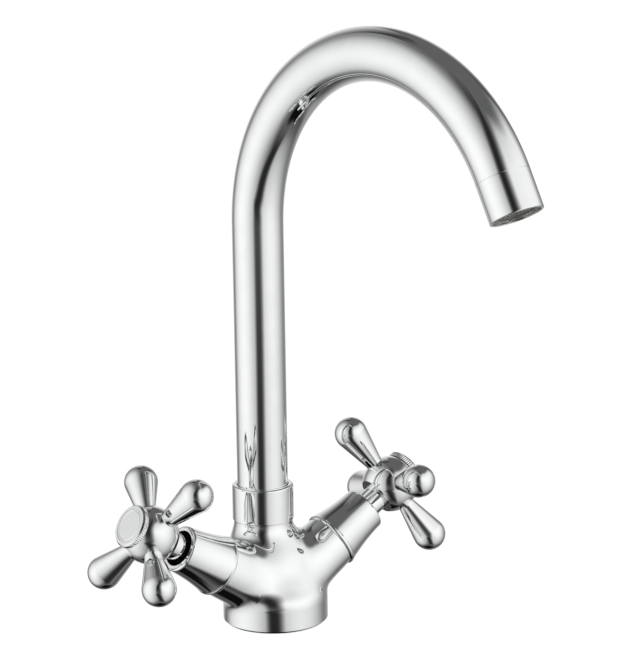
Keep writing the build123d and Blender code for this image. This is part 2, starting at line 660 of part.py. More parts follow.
def moving_disc():
    """Ceramic disc that turns on the fixed one: two lobes cover the ports when the valve is closed."""
    bottom = FIXED_DISC_TOP + SEAL_FIT
    disc = ring(0, DISC_RADIUS, bottom, MOVING_DISC_TOP)
    for middle in (90, 270):
        start = middle - DISC_PORT_ANGLE / 2
        disc -= sector(DISC_PORT_INNER, 2 * DISC_RADIUS, bottom, MOVING_DISC_TOP, start, DISC_PORT_ANGLE)
    slot = Pos(0, 0, MOVING_DISC_TOP) * Box(
        2 * SPINDLE_FOOT_RADIUS,
        SPINDLE_DRIVE_WIDTH + FACE_GAP,
        2 * (SPINDLE_DRIVE_DEPTH + FACE_GAP),
    )
    return disc - slot


def slip_washer():
    """Plastic washer between the spindle's foot and the roof of the cartridge body."""
    bore = SPINDLE_RADIUS + FACE_GAP
    return ring(bore, SPINDLE_FOOT_RADIUS, SLIP_WASHER_BOTTOM, SLIP_WASHER_BOTTOM + SLIP_WASHER_THICKNESS)


def spindle(handle_turn):
    """Foot with a drive bar and a stop lug, shaft with two O-ring grooves, and the splined end.

    The spline stands at the turn of the handle that sits on it, and the foot at the stop.
    """
    clip_bottom = VALVE_TOP + FACE_GAP
    outline = [
        (0, MOVING_DISC_TOP),
        (SPINDLE_FOOT_RADIUS, MOVING_DISC_TOP),
        (SPINDLE_FOOT_RADIUS, FOOT_TOP),
        (SPINDLE_RADIUS, FOOT_TOP),
    ]
    for height in SPINDLE_ORING_HEIGHTS:
        outline += oring_groove(SPINDLE_RADIUS, SHAFT_BORE, SPINDLE_ORING_WIDTH, height)
    outline += [
        (SPINDLE_RADIUS, clip_bottom),
        (SPLINE_RADIUS - SPLINE_DEPTH, clip_bottom),
        (SPLINE_RADIUS - SPLINE_DEPTH, CLIP_TOP),
        (0, CLIP_TOP),
    ]
    shaft = turned(*outline)
    shaft += Pos(0, 0, MOVING_DISC_TOP - SPINDLE_DRIVE_DEPTH) * Box(
        2 * (SPINDLE_FOOT_RADIUS - FACE_GAP), SPINDLE_DRIVE_WIDTH, SPINDLE_DRIVE_DEPTH, align=RISING
    )
    shaft += sector(
        SPINDLE_RADIUS, DISC_RADIUS, MOVING_DISC_TOP, FOOT_TOP, -STOP_LUG_ANGLE / 2, STOP_LUG_ANGLE
    )
    spline = toothed_bar(SPLINE_RADIUS, SPLINE_RADIUS - SPLINE_DEPTH, SPLINE_TEETH, CLIP_TOP, SPINDLE_TOP)
    shaft += Rot(0, 0, handle_turn) * spline
    return shaft - ring(0, SCREW_RADIUS + FACE_GAP, RECESS_FLOOR - SCREW_LENGTH - OVERRUN, SPINDLE_TOP)


def spindle_oring(height):
    """One of the two O-rings on the spindle."""
    return oring(SHAFT_BORE, SPINDLE_ORING_WIDTH, height)


def spindle_clip():
    """Open spring ring that keeps the spindle in the cartridge body."""
    bore = SPLINE_RADIUS - SPLINE_DEPTH + FACE_GAP / 2
    bottom = VALVE_TOP + FACE_GAP
    return sector(
        bore, bore + CLIP_WIDTH, bottom, CLIP_TOP - FACE_GAP / 2, CLIP_GAP_ANGLE / 2, 360 - CLIP_GAP_ANGLE
    )


# ---- Cross handle, on the same axis
def hub():
    """Ball cut flat front and back, with a neck into the bonnet's mouth and a splined socket."""
    ball = Sphere(HUB_RADIUS) & Cylinder(2 * HUB_RADIUS, 2 * HUB_HALF_LENGTH)
    neck = ring(0, HUB_NECK_RADIUS, HUB_NECK_BOTTOM, HUB_BACK + OVERRUN)
    blank = Pos(0, 0, HUB_CENTRE) * ball + neck
    tip = SPLINE_RADIUS + FACE_GAP / 2
    socket_top = RECESS_FLOOR - HUB_WEB
    blank -= toothed_bar(tip, tip - SPLINE_DEPTH, SPLINE_TEETH, HUB_NECK_BOTTOM - OVERRUN, socket_top)
    blank -= ring(0, SCREW_RADIUS + FACE_GAP, socket_top - OVERRUN, RECESS_FLOOR)
    blank -= ring(0, CAP_SPIGOT_RADIUS + THREAD_FIT, RECESS_FLOOR, HUB_FRONT + OVERRUN)
    bore = HANDLE_ARM_STUD_RADIUS + THREAD_FIT
    reach = HUB_RADIUS - HANDLE_ARM_STUD_LENGTH - FACE_GAP
    for place in PolarLocations(0, HANDLE_ARMS):
        blank -= place * Pos(0, 0, HUB_CENTRE) * Rot(0, 90, 0) * ring(0, bore, reach, 2 * HUB_RADIUS)
    return blank


def handle_arm():
    """Tapered arm with a ball end, standing on the hub's ball with its stud in the hub."""
    centre = HANDLE_ARM_REACH
    run = centre - HUB_RADIUS
    # the taper leaves the root and touches the ball end where the angle at its centre is this
    lean = math.acos(HANDLE_BULB_RADIUS / math.hypot(run, HANDLE_ARM_ROOT_RADIUS))
    touch = math.atan2(HANDLE_ARM_ROOT_RADIUS, -run) - lean
    root = (HANDLE_ARM_ROOT_RADIUS, 0, HUB_RADIUS)
    bulb = HANDLE_BULB_RADIUS
    flank = (bulb * math.sin(touch), 0, centre + bulb * math.cos(touch))
    middle = (bulb * math.sin(touch / 2), 0, centre + bulb * math.cos(touch / 2))
    tip = (0, 0, centre + bulb)
    inner = HUB_RADIUS - HANDLE_ARM_ROOT_RADIUS
    outline = [
        Line(root, flank),
        ThreePointArc(flank, middle, tip),
        Polyline(tip, (0, 0, inner), (HANDLE_ARM_ROOT_RADIUS, 0, inner), root),
    ]
    taper = revolve(make_face(outline), Axis.Z) - Sphere(HUB_RADIUS)
    stud = ring(0, HANDLE_ARM_STUD_RADIUS, HUB_RADIUS - HANDLE_ARM_STUD_LENGTH, HUB_RADIUS + OVERRUN)
    return taper + stud


def placed_arm(number):
    """The arm, laid out from the hub's centre at its place in the cross."""
    turn = 360 / HANDLE_ARMS * number
    return Pos(0, 0, HUB_CENTRE) * Rot(0, 0, turn) * Rot(0, 90, 0) * handle_arm()


def index_cap():
    """Screwed cap with a seat for the index disc."""
    seat = INDEX_DISC_RADIUS + FACE_GAP
    return turned(
        (0, HUB_FRONT - CAP_SPIGOT_LENGTH),
        (CAP_SPIGOT_RADIUS, HUB_FRONT - CAP_SPIGOT_LENGTH),
        (CAP_SPIGOT_RADIUS, HUB_FRONT),
        (CAP_SPIGOT_RADIUS + CAP_SPIGOT_SHOULDER, HUB_FRONT),
        (CAP_SPIGOT_RADIUS + CAP_SPIGOT_SHOULDER, CAP_BACK),
        (CAP_RADIUS, CAP_BACK),
        (CAP_RADIUS, CAP_FRONT - CAP_BEVEL),
        (CAP_RADIUS - CAP_BEVEL, CAP_FRONT),
        (seat, CAP_FRONT),
        (seat, CAP_FRONT - INDEX_DISC_THICKNESS - FACE_GAP),
        (0, CAP_FRONT - INDEX_DISC_THICKNESS - FACE_GAP),
    )


def index_disc():
    """Plain disc let into the cap."""
    top = CAP_FRONT - FACE_GAP
    return ring(0, INDEX_DISC_RADIUS, top - INDEX_DISC_THICKNESS, top)


def handle_screw():
    """Socket screw that holds the hub on the spindle."""
    screw = turned(
        (0, RECESS_FLOOR - SCREW_LENGTH),
        (SCREW_RADIUS, RECESS_FLOOR - SCREW_LENGTH),
        (SCREW_RADIUS, RECESS_FLOOR),
        (SCREW_HEAD_RADIUS, RECESS_FLOOR),
        (SCREW_HEAD_RADIUS, RECESS_FLOOR + SCREW_HEAD),
        (0, RECESS_FLOOR + SCREW_HEAD),
    )
    key = extrude(RegularPolygon(SCREW_KEY_RADIUS, 6), SCREW_HEAD)
    return screw - Pos(0, 0, RECESS_FLOOR + SCREW_HEAD / 2) * key


# ---- Assembly: one solid in one file for each piece
pieces = {
    "body": body(),
    "base_seal": base_seal(),
    "spout_bush": spout_bush(),
    "collar_nut": collar_nut(),
}
turning = {
    "spout_tube": spout_tube(),
    "spout_spigot": spout_spigot(),
    "spigot_oring_lower": spigot_oring(ORING_HEIGHTS[0]),
    "spigot_oring_upper": spigot_oring(ORING_HEIGHTS[1]),
    "spout_retainer": spout_retainer(),
    "outlet_sleeve": outlet_sleeve(),
    "aerator_washer": aerator_washer(),
    "aerator_housing": aerator_housing(),
    "aerator_jet_plate": jet_plate(),
    "aerator_screen": aerator_screen(),
}
for name, piece in turning.items():
    pieces[name] = piece.rotate(COLUMN, SPOUT_TURN)

for side, hand, turn in ((-1, "left", LEFT_HANDLE_TURN), (1, "right", RIGHT_HANDLE_TURN)):
    opening = -side
    valve = {
        "bonnet": bonnet(),
        "valve_body": valve_body(opening),
        "valve_oring": valve_oring(),
        "seat_seal": seat_seal(),
        "fixed_disc": fixed_disc(),
        "moving_disc": moving_disc(),
        "slip_washer": slip_washer(),
        "spindle": spindle(turn),
        "spindle_oring_inner": spindle_oring(SPINDLE_ORING_HEIGHTS[0]),
        "spindle_oring_outer": spindle_oring(SPINDLE_ORING_HEIGHTS[1]),
        "spindle_clip": spindle_clip(),
    }
    cross = {
        "hub": hub(),
        "index_cap": index_cap(),
        "index_disc": index_disc(),
        "handle_screw": handle_screw(),
    }
    for number in range(HANDLE_ARMS):
        cross[f"handle_arm_{number + 1}"] = placed_arm(number)
    for name, piece in valve.items():
        pieces[f"{hand}_{name}"] = arm_end(side).location * piece
    for name, piece in cross.items():
        pieces[f"{hand}_{name}"] = arm_end(side).location * Rot(0, 0, turn) * piece

os.makedirs("parts", exist_ok=True)
for name, piece in pieces.items():
    export_step(piece, f"parts/{name}.step")
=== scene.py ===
import math

import bmesh
import bpy
import numpy as np
from mathutils import Matrix, Vector


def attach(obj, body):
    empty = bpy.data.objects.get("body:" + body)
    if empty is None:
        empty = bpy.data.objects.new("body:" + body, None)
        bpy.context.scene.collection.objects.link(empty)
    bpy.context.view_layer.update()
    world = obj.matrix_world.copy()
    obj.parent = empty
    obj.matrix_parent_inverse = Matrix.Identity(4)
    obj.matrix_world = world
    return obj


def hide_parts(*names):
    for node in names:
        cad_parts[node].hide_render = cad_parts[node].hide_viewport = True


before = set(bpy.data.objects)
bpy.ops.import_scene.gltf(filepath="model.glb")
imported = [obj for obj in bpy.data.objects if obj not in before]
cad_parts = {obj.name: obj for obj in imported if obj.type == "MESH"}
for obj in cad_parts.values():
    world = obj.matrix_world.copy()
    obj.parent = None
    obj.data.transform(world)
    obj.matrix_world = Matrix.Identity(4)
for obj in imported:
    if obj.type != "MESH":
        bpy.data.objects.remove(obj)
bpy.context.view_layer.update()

scene = bpy.context.scene
scene.view_settings.view_transform = "Standard"

# ---- Camera: a little above the faucet, ahead of it and to its left, far off with a long lens, so that
# the tube stands almost without perspective. Its place is in metres, its lens and sensor in millimetres.
CAMERA_AZIMUTH = math.radians(-35.03)
CAMERA_PITCH = math.radians(12.72)
CAMERA_ROLL = math.radians(-0.84)
CAMERA_PLACE = Vector((-0.67106, -0.99330, 0.41012))
CAMERA_LENS = 144.53
CAMERA_SENSOR = 36.0

backwards = Vector((
    math.sin(CAMERA_AZIMUTH) * math.cos(CAMERA_PITCH),
    -math.cos(CAMERA_AZIMUTH) * math.cos(CAMERA_PITCH),
    math.sin(CAMERA_PITCH),
))
level_right = Vector((math.cos(CAMERA_AZIMUTH), math.sin(CAMERA_AZIMUTH), 0))
level_up = backwards.cross(level_right)
right = level_right * math.cos(CAMERA_ROLL) + level_up * math.sin(CAMERA_ROLL)
up = level_up * math.cos(CAMERA_ROLL) - level_right * math.sin(CAMERA_ROLL)

camera_data = bpy.data.cameras.new("camera")
camera_data.sensor_fit = "VERTICAL"
camera_data.sensor_height = CAMERA_SENSOR
camera_data.lens = CAMERA_LENS
camera = bpy.data.objects.new("camera", camera_data)
scene.collection.objects.link(camera)
camera.matrix_world = Matrix.Translation(CAMERA_PLACE) @ Matrix((right, up, backwards)).transposed().to_4x4()
scene.camera = camera

# ---- Light tent: a closed white tent round the faucet. Two big lit walls stand left and right of the
# camera and one behind the faucet, with dim gaps between them, a dim roof, and a dim bottom with a pit.
# Lengths are in metres and angles in degrees. Bearings are taken from the camera's side, turning to its
# right, and heights from eye level.
TENT_RADIUS = 1.9
TENT_CENTRE = Vector((0, -0.03, 0.14))
TENT_STEP = 1.5
TENT_BEARING = math.degrees(math.atan2(CAMERA_PLACE.x, -CAMERA_PLACE.y))
TENT_GAIN = 1.06

# A wall is brightest at its middle bearing and its level. A fall is what its tone loses one span away from
# there, and it grows with the square of the distance. The right wall evens out from side to side higher up.
SPAN = 60
DIMMEST_WALL = 0.2
LEFT_WALL = {"middle": -76.7, "level": 0, "tone": 0.994, "side_fall": 0.325, "height_fall": 0.203}
BACK_WALL = {"middle": 184.4, "level": 0, "tone": 0.903, "side_fall": 1.236, "height_fall": 0.768}
RIGHT_WALL = {"middle": 57.9, "level": 17.64, "tone": 1.0}
RIGHT_SIDE_FALL = 0.303
RIGHT_FALL_BELOW = 0.2
RIGHT_FALL_ABOVE = 0.55
RIGHT_EVENED = 0.75
RIGHT_EVENS_AT = (8, 40)

# A gap's middle and its tone hold at eye level, each with its change over one span of height. Its width is
# half of it, then how soft its left and its right edge are. An edge is its place, then how soft it is.
# The front gap shows as the dark stripe down the spout. It sways to the right far up and far down, jogs to
# the left at the height that upright walls mirror, and a haze lifts its tone about eye level.
FRONT_GAP_MIDDLE = (-2.5, -6)
FRONT_GAP_WIDTH = (14.5, 17, 24)
FRONT_GAP_WIDENS = 16
FRONT_GAP_TONE = 0.15
FRONT_SWAY = 24
FRONT_JOG = 5
FRONT_JOG_HEIGHT = -19.5
FRONT_JOG_REACH = 4
FRONT_HAZE = 0.14
HAZE_BOTTOM = (-14, 16)
HAZE_TOP = (8, 30)
RIGHT_GAP_MIDDLE = (142.7, -14.1)
RIGHT_GAP_WIDTH = (6.9, 36.8, 35.5)
RIGHT_GAP_TONE = (0.586, -0.356)
LEFT_GAP_MIDDLE = (-138.9, -7.4)
LEFT_GAP_WIDTH = (6.0, 3.8, 31.6)
LEFT_GAP_TONE = (0.496, 0.081)

# The roof hangs lower on the right. The bottom and its pit reach higher behind the faucet.
ROOF_GLOW = 0.37
ROOF_EDGE = (60, 16)
ROOF_EDGE_LEFT = (74.8, 47.2)
ROOF_DROOP = 18
ROOF_DROOPS_FROM = 55
BEHIND_EDGE = (105, 40)
BOTTOM_GLOW = 0.36
BOTTOM_EDGE = (-67, 24)
BOTTOM_RISE = 12
PIT_GLOW = 0.05
PIT_EDGE = (-80, 9)
PIT_RISE = 13


def past_edge(value, place, softness):
    """0 to 1 across a soft edge at that place, with no kink."""
    share = np.clip((value - place) / softness + 0.5, 0, 1)
    return share * share * (3 - 2 * share)


def changed(start_and_change, climb):
    """A value that changes evenly with height."""
    start, change = start_and_change
    return start + change * climb


def wall_tone(bearing, height, middle, level, tone, side_fall, height_fall):
    """Tone of a lit wall, which falls off from its middle and from its level."""
    return tone - side_fall * ((bearing - middle) / SPAN) ** 2 - height_fall * ((height - level) / SPAN) ** 2


def tent_glow(bearing, height):
    """How bright the tent looks in each direction, as a tone from 0 to 1."""
    climb = height / SPAN
    jog = FRONT_JOG * np.exp(-((height - FRONT_JOG_HEIGHT) / FRONT_JOG_REACH) ** 2)
    front = changed(FRONT_GAP_MIDDLE, climb) + FRONT_SWAY * climb**4 - jog
    right = changed(RIGHT_GAP_MIDDLE, climb)
    left = changed(LEFT_GAP_MIDDLE, climb)

    side_fall = RIGHT_SIDE_FALL * (1 - RIGHT_EVENED * past_edge(height, *RIGHT_EVENS_AT))
    height_fall = np.where(height > RIGHT_WALL["level"], RIGHT_FALL_ABOVE, RIGHT_FALL_BELOW)
    left_wall = wall_tone(bearing, height, **LEFT_WALL)
    right_wall = wall_tone(bearing, height, **RIGHT_WALL, side_fall=side_fall, height_fall=height_fall)
    back_wall = wall_tone(bearing % 360, height, **BACK_WALL)
    is_left = (bearing > left) & (bearing < front)
    is_right = (bearing >= front) & (bearing < right)
    glow = np.where(is_left, left_wall, np.where(is_right, right_wall, back_wall))
    glow = np.clip(glow, DIMMEST_WALL, 1)

    haze = FRONT_HAZE * past_edge(height, *HAZE_BOTTOM) * (1 - past_edge(height, *HAZE_TOP))
    half, left_edge, right_edge = FRONT_GAP_WIDTH
    front_width = (half, left_edge, right_edge + FRONT_GAP_WIDENS * np.maximum(climb, 0))
    gaps = (
        (front, front_width, FRONT_GAP_TONE + haze),
        (right, RIGHT_GAP_WIDTH, changed(RIGHT_GAP_TONE, climb)),
        (left, LEFT_GAP_WIDTH, changed(LEFT_GAP_TONE, climb)),
    )
    for middle, (half, left_edge, right_edge), tone in gaps:
        off = (bearing - middle + 180) % 360 - 180
        inside = past_edge(off, -half, left_edge) * (1 - past_edge(off, half, right_edge))
        glow += (tone - glow) * inside

    roof_place, roof_softness = ROOF_EDGE
    roof_place = roof_place - ROOF_DROOP * np.maximum(bearing - ROOF_DROOPS_FROM, 0) / SPAN
    roof = past_edge(height, roof_place, roof_softness)
    glow += (ROOF_GLOW - glow) * np.where(is_left, past_edge(height, *ROOF_EDGE_LEFT), roof)
    behind = past_edge(np.abs(bearing), *BEHIND_EDGE)
    low_parts = ((BOTTOM_GLOW, BOTTOM_EDGE, BOTTOM_RISE), (PIT_GLOW, PIT_EDGE, PIT_RISE))
    for tone, (place, softness), rise in low_parts:
        glow += (tone - glow) * (1 - past_edge(height, place + rise * behind, softness))
    return glow


def linear(tone):
    """Light that shows as that tone on screen, by the screen's own curve."""
    tone = np.asarray(tone, float)
    return np.where(tone > 0.04045, ((tone + 0.055) / 1.055) ** 2.4, tone / 12.92)


rings = int(180 / TENT_STEP)
gores = int(360 / TENT_STEP)
heights = np.radians(np.linspace(-90, 90, rings + 1))
bearings = np.radians(np.arange(gores) * TENT_STEP)
tent_points = []
for height in heights:
    for bearing in bearings:
        tent_points.append((
            math.sin(bearing) * math.cos(height),
            -math.cos(bearing) * math.cos(height),
            math.sin(height),
        ))
tent_faces = []
for i in range(rings):
    for j in range(gores):
        k = (j + 1) % gores
        tent_faces.append((i * gores + j, i * gores + k, (i + 1) * gores + k, (i + 1) * gores + j))
tent_mesh = bpy.data.meshes.new("light_tent")
tent_mesh.from_pydata([Vector(p) * TENT_RADIUS + TENT_CENTRE for p in tent_points], [], tent_faces)
directions = np.array(tent_points)
tent_bearing = (np.degrees(np.arctan2(directions[:, 0], -directions[:, 1])) - TENT_BEARING + 180) % 360 - 180
tent_height = np.degrees(np.arcsin(np.clip(directions[:, 2], -1, 1)))
glow = tent_mesh.attributes.new("glow", "FLOAT", "POINT")
glow.data.foreach_set("value", linear(tent_glow(tent_bearing, tent_height)).astype(np.float32))


def new_material(name):
    """A material, and its node tree with nothing in it yet."""
    material = bpy.data.materials.new(name)
    material.use_nodes = True
    tree = material.node_tree
    tree.nodes.clear()
    return material, tree


tent_cloth, tree = new_material("tent_cloth")
cloth_glow = tree.nodes.new("ShaderNodeAttribute")
cloth_glow.attribute_name = "glow"
cloth_gain = tree.nodes.new("ShaderNodeMath")
cloth_gain.operation = "MULTIPLY"
cloth_gain.inputs[1].default_value = TENT_GAIN
cloth_light = tree.nodes.new("ShaderNodeEmission")
cloth_out = tree.nodes.new("ShaderNodeOutputMaterial")
tree.links.new(cloth_glow.outputs["Fac"], cloth_gain.inputs[0])
tree.links.new(cloth_gain.outputs[0], cloth_light.inputs["Strength"])
tree.links.new(cloth_light.outputs[0], cloth_out.inputs["Surface"])
tent_cloth.cycles.emission_sampling = "NONE"
tent_mesh.materials.append(tent_cloth)
light_tent = bpy.data.objects.new("light_tent", tent_mesh)
scene.collection.objects.link(light_tent)
light_tent.visible_camera = False
light_tent.visible_shadow = False

# The backdrop is the world: plain white to the camera and in what metal mirrors, where the tent leaves it
# to be seen, and no light on anything else.
world = bpy.data.worlds.new("white_backdrop")
scene.world = world
world.use_nodes = True
world.node_tree.nodes.clear()
path = world.node_tree.nodes.new("ShaderNodeLightPath")
seen = world.node_tree.nodes.new("ShaderNodeMath")
seen.operation = "ADD"
seen.use_clamp = True
seen_too = world.node_tree.nodes.new("ShaderNodeMath")
seen_too.operation = "ADD"
seen_too.use_clamp = True
backdrop = world.node_tree.nodes.new("ShaderNodeBackground")
backdrop.inputs["Color"].default_value = (1, 1, 1, 1)
backdrop_out = world.node_tree.nodes.new("ShaderNodeOutputWorld")
world.node_tree.links.new(path.outputs["Is Camera Ray"], seen.inputs[0])
world.node_tree.links.new(path.outputs["Is Glossy Ray"], seen.inputs[1])
world.node_tree.links.new(seen.outputs[0], seen_too.inputs[0])
world.node_tree.links.new(path.outputs["Is Transmission Ray"], seen_too.inputs[1])
world.node_tree.links.new(seen_too.outputs[0], backdrop.inputs["Strength"])
world.node_tree.links.new(backdrop.outputs[0], backdrop_out.inputs["Surface"])

# ---- Floor: a pale matt board under the faucet, which keeps its shadow. A glow that only the camera sees
# lifts it to the white of the backdrop.
FLOOR_HALF_WIDTH = 0.9
FLOOR_DROP = 0.0002
FLOOR_LIFT = 0.72
FLOOR_COLOUR = (0.78, 0.78, 0.77, 1)

floor_corners = []
for x, y in ((-1, -1), (1, -1), (1, 1), (-1, 1)):
    floor_corners.append((x * FLOOR_HALF_WIDTH, y * FLOOR_HALF_WIDTH, -FLOOR_DROP))
floor_mesh = bpy.data.meshes.new("floor")
floor_mesh.from_pydata(floor_corners, [], [(0, 1, 2, 3)])
floor_paint, tree = new_material("floor_paint")
floor_path = tree.nodes.new("ShaderNodeLightPath")
floor_lift = tree.nodes.new("ShaderNodeMath")
floor_lift.operation = "MULTIPLY"
floor_lift.inputs[1].default_value = FLOOR_LIFT
floor_matt = tree.nodes.new("ShaderNodeBsdfDiffuse")
floor_matt.inputs["Color"].default_value = FLOOR_COLOUR
floor_white = tree.nodes.new("ShaderNodeEmission")
floor_sum = tree.nodes.new("ShaderNodeAddShader")
floor_out = tree.nodes.new("ShaderNodeOutputMaterial")
tree.links.new(floor_path.outputs["Is Camera Ray"], floor_lift.inputs[0])
tree.links.new(floor_lift.outputs[0], floor_white.inputs["Strength"])
tree.links.new(floor_matt.outputs[0], floor_sum.inputs[0])
tree.links.new(floor_white.outputs[0], floor_sum.inputs[1])
tree.links.new(floor_sum.outputs[0], floor_out.inputs["Surface"])
floor_mesh.materials.append(floor_paint)
floor = bpy.data.objects.new("floor", floor_mesh)
scene.collection.objects.link(floor)
floor.visible_glossy = False

# ---- Body casting: cast brass, ground, polished and chromium plated. A round base rises into a neck that
# leans back to the spout's column, and two arms run out and up to the valves. Sizes are in millimetres.
# Its skin is drawn from a formula: the blends fill the corners, and the grid is the net laid over it.
MM = 0.001
BASE_RADIUS = 24.8
BASE_WALL_HEIGHT = 10.0
BASE_EDGE = 1.0
COLUMN_SETBACK = 9.0
NECK_RADIUS = 13.9
NECK_HEIGHT = 47.0
WAIST_RADIUS = 18.8
FLARE_HEIGHT = 18.0
HULL_FULLNESS = 1.2
BOSS_RADIUS = 12.58
BOSS_TOP = 56.0
ARM_ROOT_HEIGHT = 12.3
ARM_ELEVATION = math.radians(31.2)
ARM_LENGTH = 37.3
ARM_RADIUS = 13.6
ARM_TAPER = 1.6 / 32.3
ARM_BURIED = 5.0
ARM_FADE = 0.08
CAST_BLEND = 10.0
CAST_BLEND_BELOW = 5.0
BLEND_BELOW_TOP = 10.0
BLEND_RISE = 12.0
CAST_GRID = 0.75
CAST_LOW = (-52, -27, -3)
CAST_HIGH = (52, 29, 50)
SLOPE_REACH = 0.02
LEAST_SLOPE = 0.5
SETTLING_ROUNDS = 6
PLANE_TOLERANCE = 0.00001
RIM_TOLERANCE = 0.001


def arm_place(side):
    """Frame on the end face of an arm: its Z runs out along the valve's axis. In metres."""
    out = Vector((side * math.cos(ARM_ELEVATION), 0, math.sin(ARM_ELEVATION)))
    across = Vector((0, side, 0))
    place = Matrix((across, out.cross(across), out)).transposed().to_4x4()
    place.translation = (Vector((0, 0, ARM_ROOT_HEIGHT)) + out * ARM_LENGTH) * MM
    return place


def s_curve(share):
    """Soft passage from 0 to 1."""
    return (1 - np.cos(np.pi * np.clip(share, 0, 1))) / 2


def softer_curve(share):
    """Soft passage from 0 to 1 that starts and ends straight, so that no line shows in the polish."""
    share = np.clip(share, 0, 1)
    return share**3 * (10 - 15 * share + 6 * share**2)


def core_depth(p):
    """Below 0 inside the base, its flare, the waist and the neck, which leans back to the column."""
    climb = p[..., 2] - BASE_WALL_HEIGHT
    rise = NECK_HEIGHT - BASE_WALL_HEIGHT
    above_flare = np.clip((climb - FLARE_HEIGHT) / (rise - FLARE_HEIGHT), 0, 1)
    radius = BASE_RADIUS + (WAIST_RADIUS - BASE_RADIUS) * softer_curve(climb / FLARE_HEIGHT)
    radius = radius + (NECK_RADIUS - WAIST_RADIUS) * s_curve(above_flare**HULL_FULLNESS)
    return np.hypot(p[..., 0], p[..., 1] - COLUMN_SETBACK * s_curve(climb / rise)) - radius


def arm_depth(p, side):
    """Below 0 inside an arm, which fades out where it is buried in the base."""
    x, z = side * p[..., 0], p[..., 2] - ARM_ROOT_HEIGHT
    along = x * math.cos(ARM_ELEVATION) + z * math.sin(ARM_ELEVATION)
    across = np.hypot(p[..., 1], x * math.sin(ARM_ELEVATION) - z * math.cos(ARM_ELEVATION))
    buried = np.maximum(ARM_BURIED - along, 0)
    return across - ARM_RADIUS - ARM_TAPER * (ARM_LENGTH - along) + ARM_FADE * buried**2


def melted(first, second, fill):
    """Two depths joined without an edge, as the pattern maker's wax fills a corner."""
    share = np.maximum(fill - np.abs(first - second), 0) / fill
    return np.minimum(first, second) - share**3 * fill / 6


def slope(depth, p):
    """Gradient of a depth at each point."""
    parts = []
    for axis in np.eye(3) * SLOPE_REACH:
        parts.append((depth(p + axis) - depth(p - axis)) / (2 * SLOPE_REACH))
    return np.stack(parts, axis=-1)


def casting_depth(p):
    """Below 0 inside the casting: the core and both arms, melted into each other, with less fill low down."""
    steepness = np.linalg.norm(slope(core_depth, p), axis=-1)
    core = core_depth(p) / np.maximum(steepness, LEAST_SLOPE)
    climb = s_curve((p[..., 2] - BLEND_BELOW_TOP) / BLEND_RISE)
    fill = CAST_BLEND_BELOW + (CAST_BLEND - CAST_BLEND_BELOW) * climb
    return melted(core, melted(arm_depth(p, -1), arm_depth(p, 1), fill), fill)


def skin_of(depth, low, high, step):
    """Net of quads over the surface where the depth is 0, each point then drawn onto it."""
    counts = [int(math.ceil((b - a) / step)) + 1 for a, b in zip(low, high)]
    axes = [a + step * np.arange(n) for a, n in zip(low, counts)]
    field = depth(np.stack(np.meshgrid(*axes, indexing="ij"), axis=-1))
    inside = field < 0
    steps = np.array([(i, j, k) for i in (0, 1) for j in (0, 1) for k in (0, 1)])
    nx, ny, nz = (n - 1 for n in counts)
    full = sum(inside[i:nx + i, j:ny + j, k:nz + k].astype(int) for i, j, k in steps)
    mixed = (full > 0) & (full < len(steps))
    cells = np.argwhere(mixed)
    number = np.full(mixed.shape, -1)
    number[mixed] = np.arange(len(cells))

    # One point in each cell that the surface crosses, amid the crossings of the cell's edges.
    total, hits = np.zeros((len(cells), 3)), np.zeros(len(cells))
    for corner in steps:
        for axis in range(3):
            if corner[axis]:
                continue
            far = corner.copy()
            far[axis] = 1
            a, b = field[tuple((cells + corner).T)], field[tuple((cells + far).T)]
            crossed = (a < 0) != (b < 0)
            share = np.zeros(len(cells))
            share[crossed] = a[crossed] / (a[crossed] - b[crossed])
            point = (cells + corner).astype(float)
            point[:, axis] += share
            total[crossed] += point[crossed]
            hits[crossed] += 1
    points = total / hits[:, None] * step + np.array(low)

    # One quad round each grid edge that the surface crosses, facing out.
    quads = []
    for axis in range(3):
        u, v = (axis + 1) % 3, (axis + 2) % 3
        near = [slice(None)] * 3
        far = [slice(None)] * 3
        near[axis], far[axis] = slice(None, -1), slice(1, None)
        a, b = inside[tuple(near)], inside[tuple(far)]
        for leaving in (True, False):
            nodes = np.argwhere(a & ~b if leaving else ~a & b)
            keep = (nodes[:, u] > 0) & (nodes[:, u] < mixed.shape[u])
            keep &= (nodes[:, v] > 0) & (nodes[:, v] < mixed.shape[v])
            nodes = nodes[keep]
            du, dv = np.eye(3, dtype=int)[u], np.eye(3, dtype=int)[v]
            corners = [nodes, nodes - du, nodes - du - dv, nodes - dv]
            face = np.stack([number[tuple(c.T)] for c in corners], axis=1)
            quads.append(face if leaving else face[:, ::-1])
    quads = np.concatenate(quads)

    # Each point is drawn straight onto the surface.
    for _ in range(SETTLING_ROUNDS):
        depths, away = depth(points), slope(depth, points)
        points -= away * (depths / (away**2).sum(-1))[:, None]
    return points, quads


def link_mesh(name, mesh):
    """Puts a mesh in the scene."""
    piece = bpy.data.objects.new(name, mesh)
    scene.collection.objects.link(piece)
    return piece


def carve(piece, tool):
    """Cuts one closed mesh with another and throws the tool away."""
    step = piece.modifiers.new("carve", "BOOLEAN")
    step.operation = "DIFFERENCE"
    step.solver = "MANIFOLD"
    step.object = tool
    carved = bpy.data.meshes.new_from_object(piece.evaluated_get(bpy.context.evaluated_depsgraph_get()))
    piece.modifiers.clear()
    old = piece.data
    piece.data = carved
    bpy.data.meshes.remove(old)
    bpy.data.objects.remove(tool)


ROUNDING_STEP = math.radians(9)


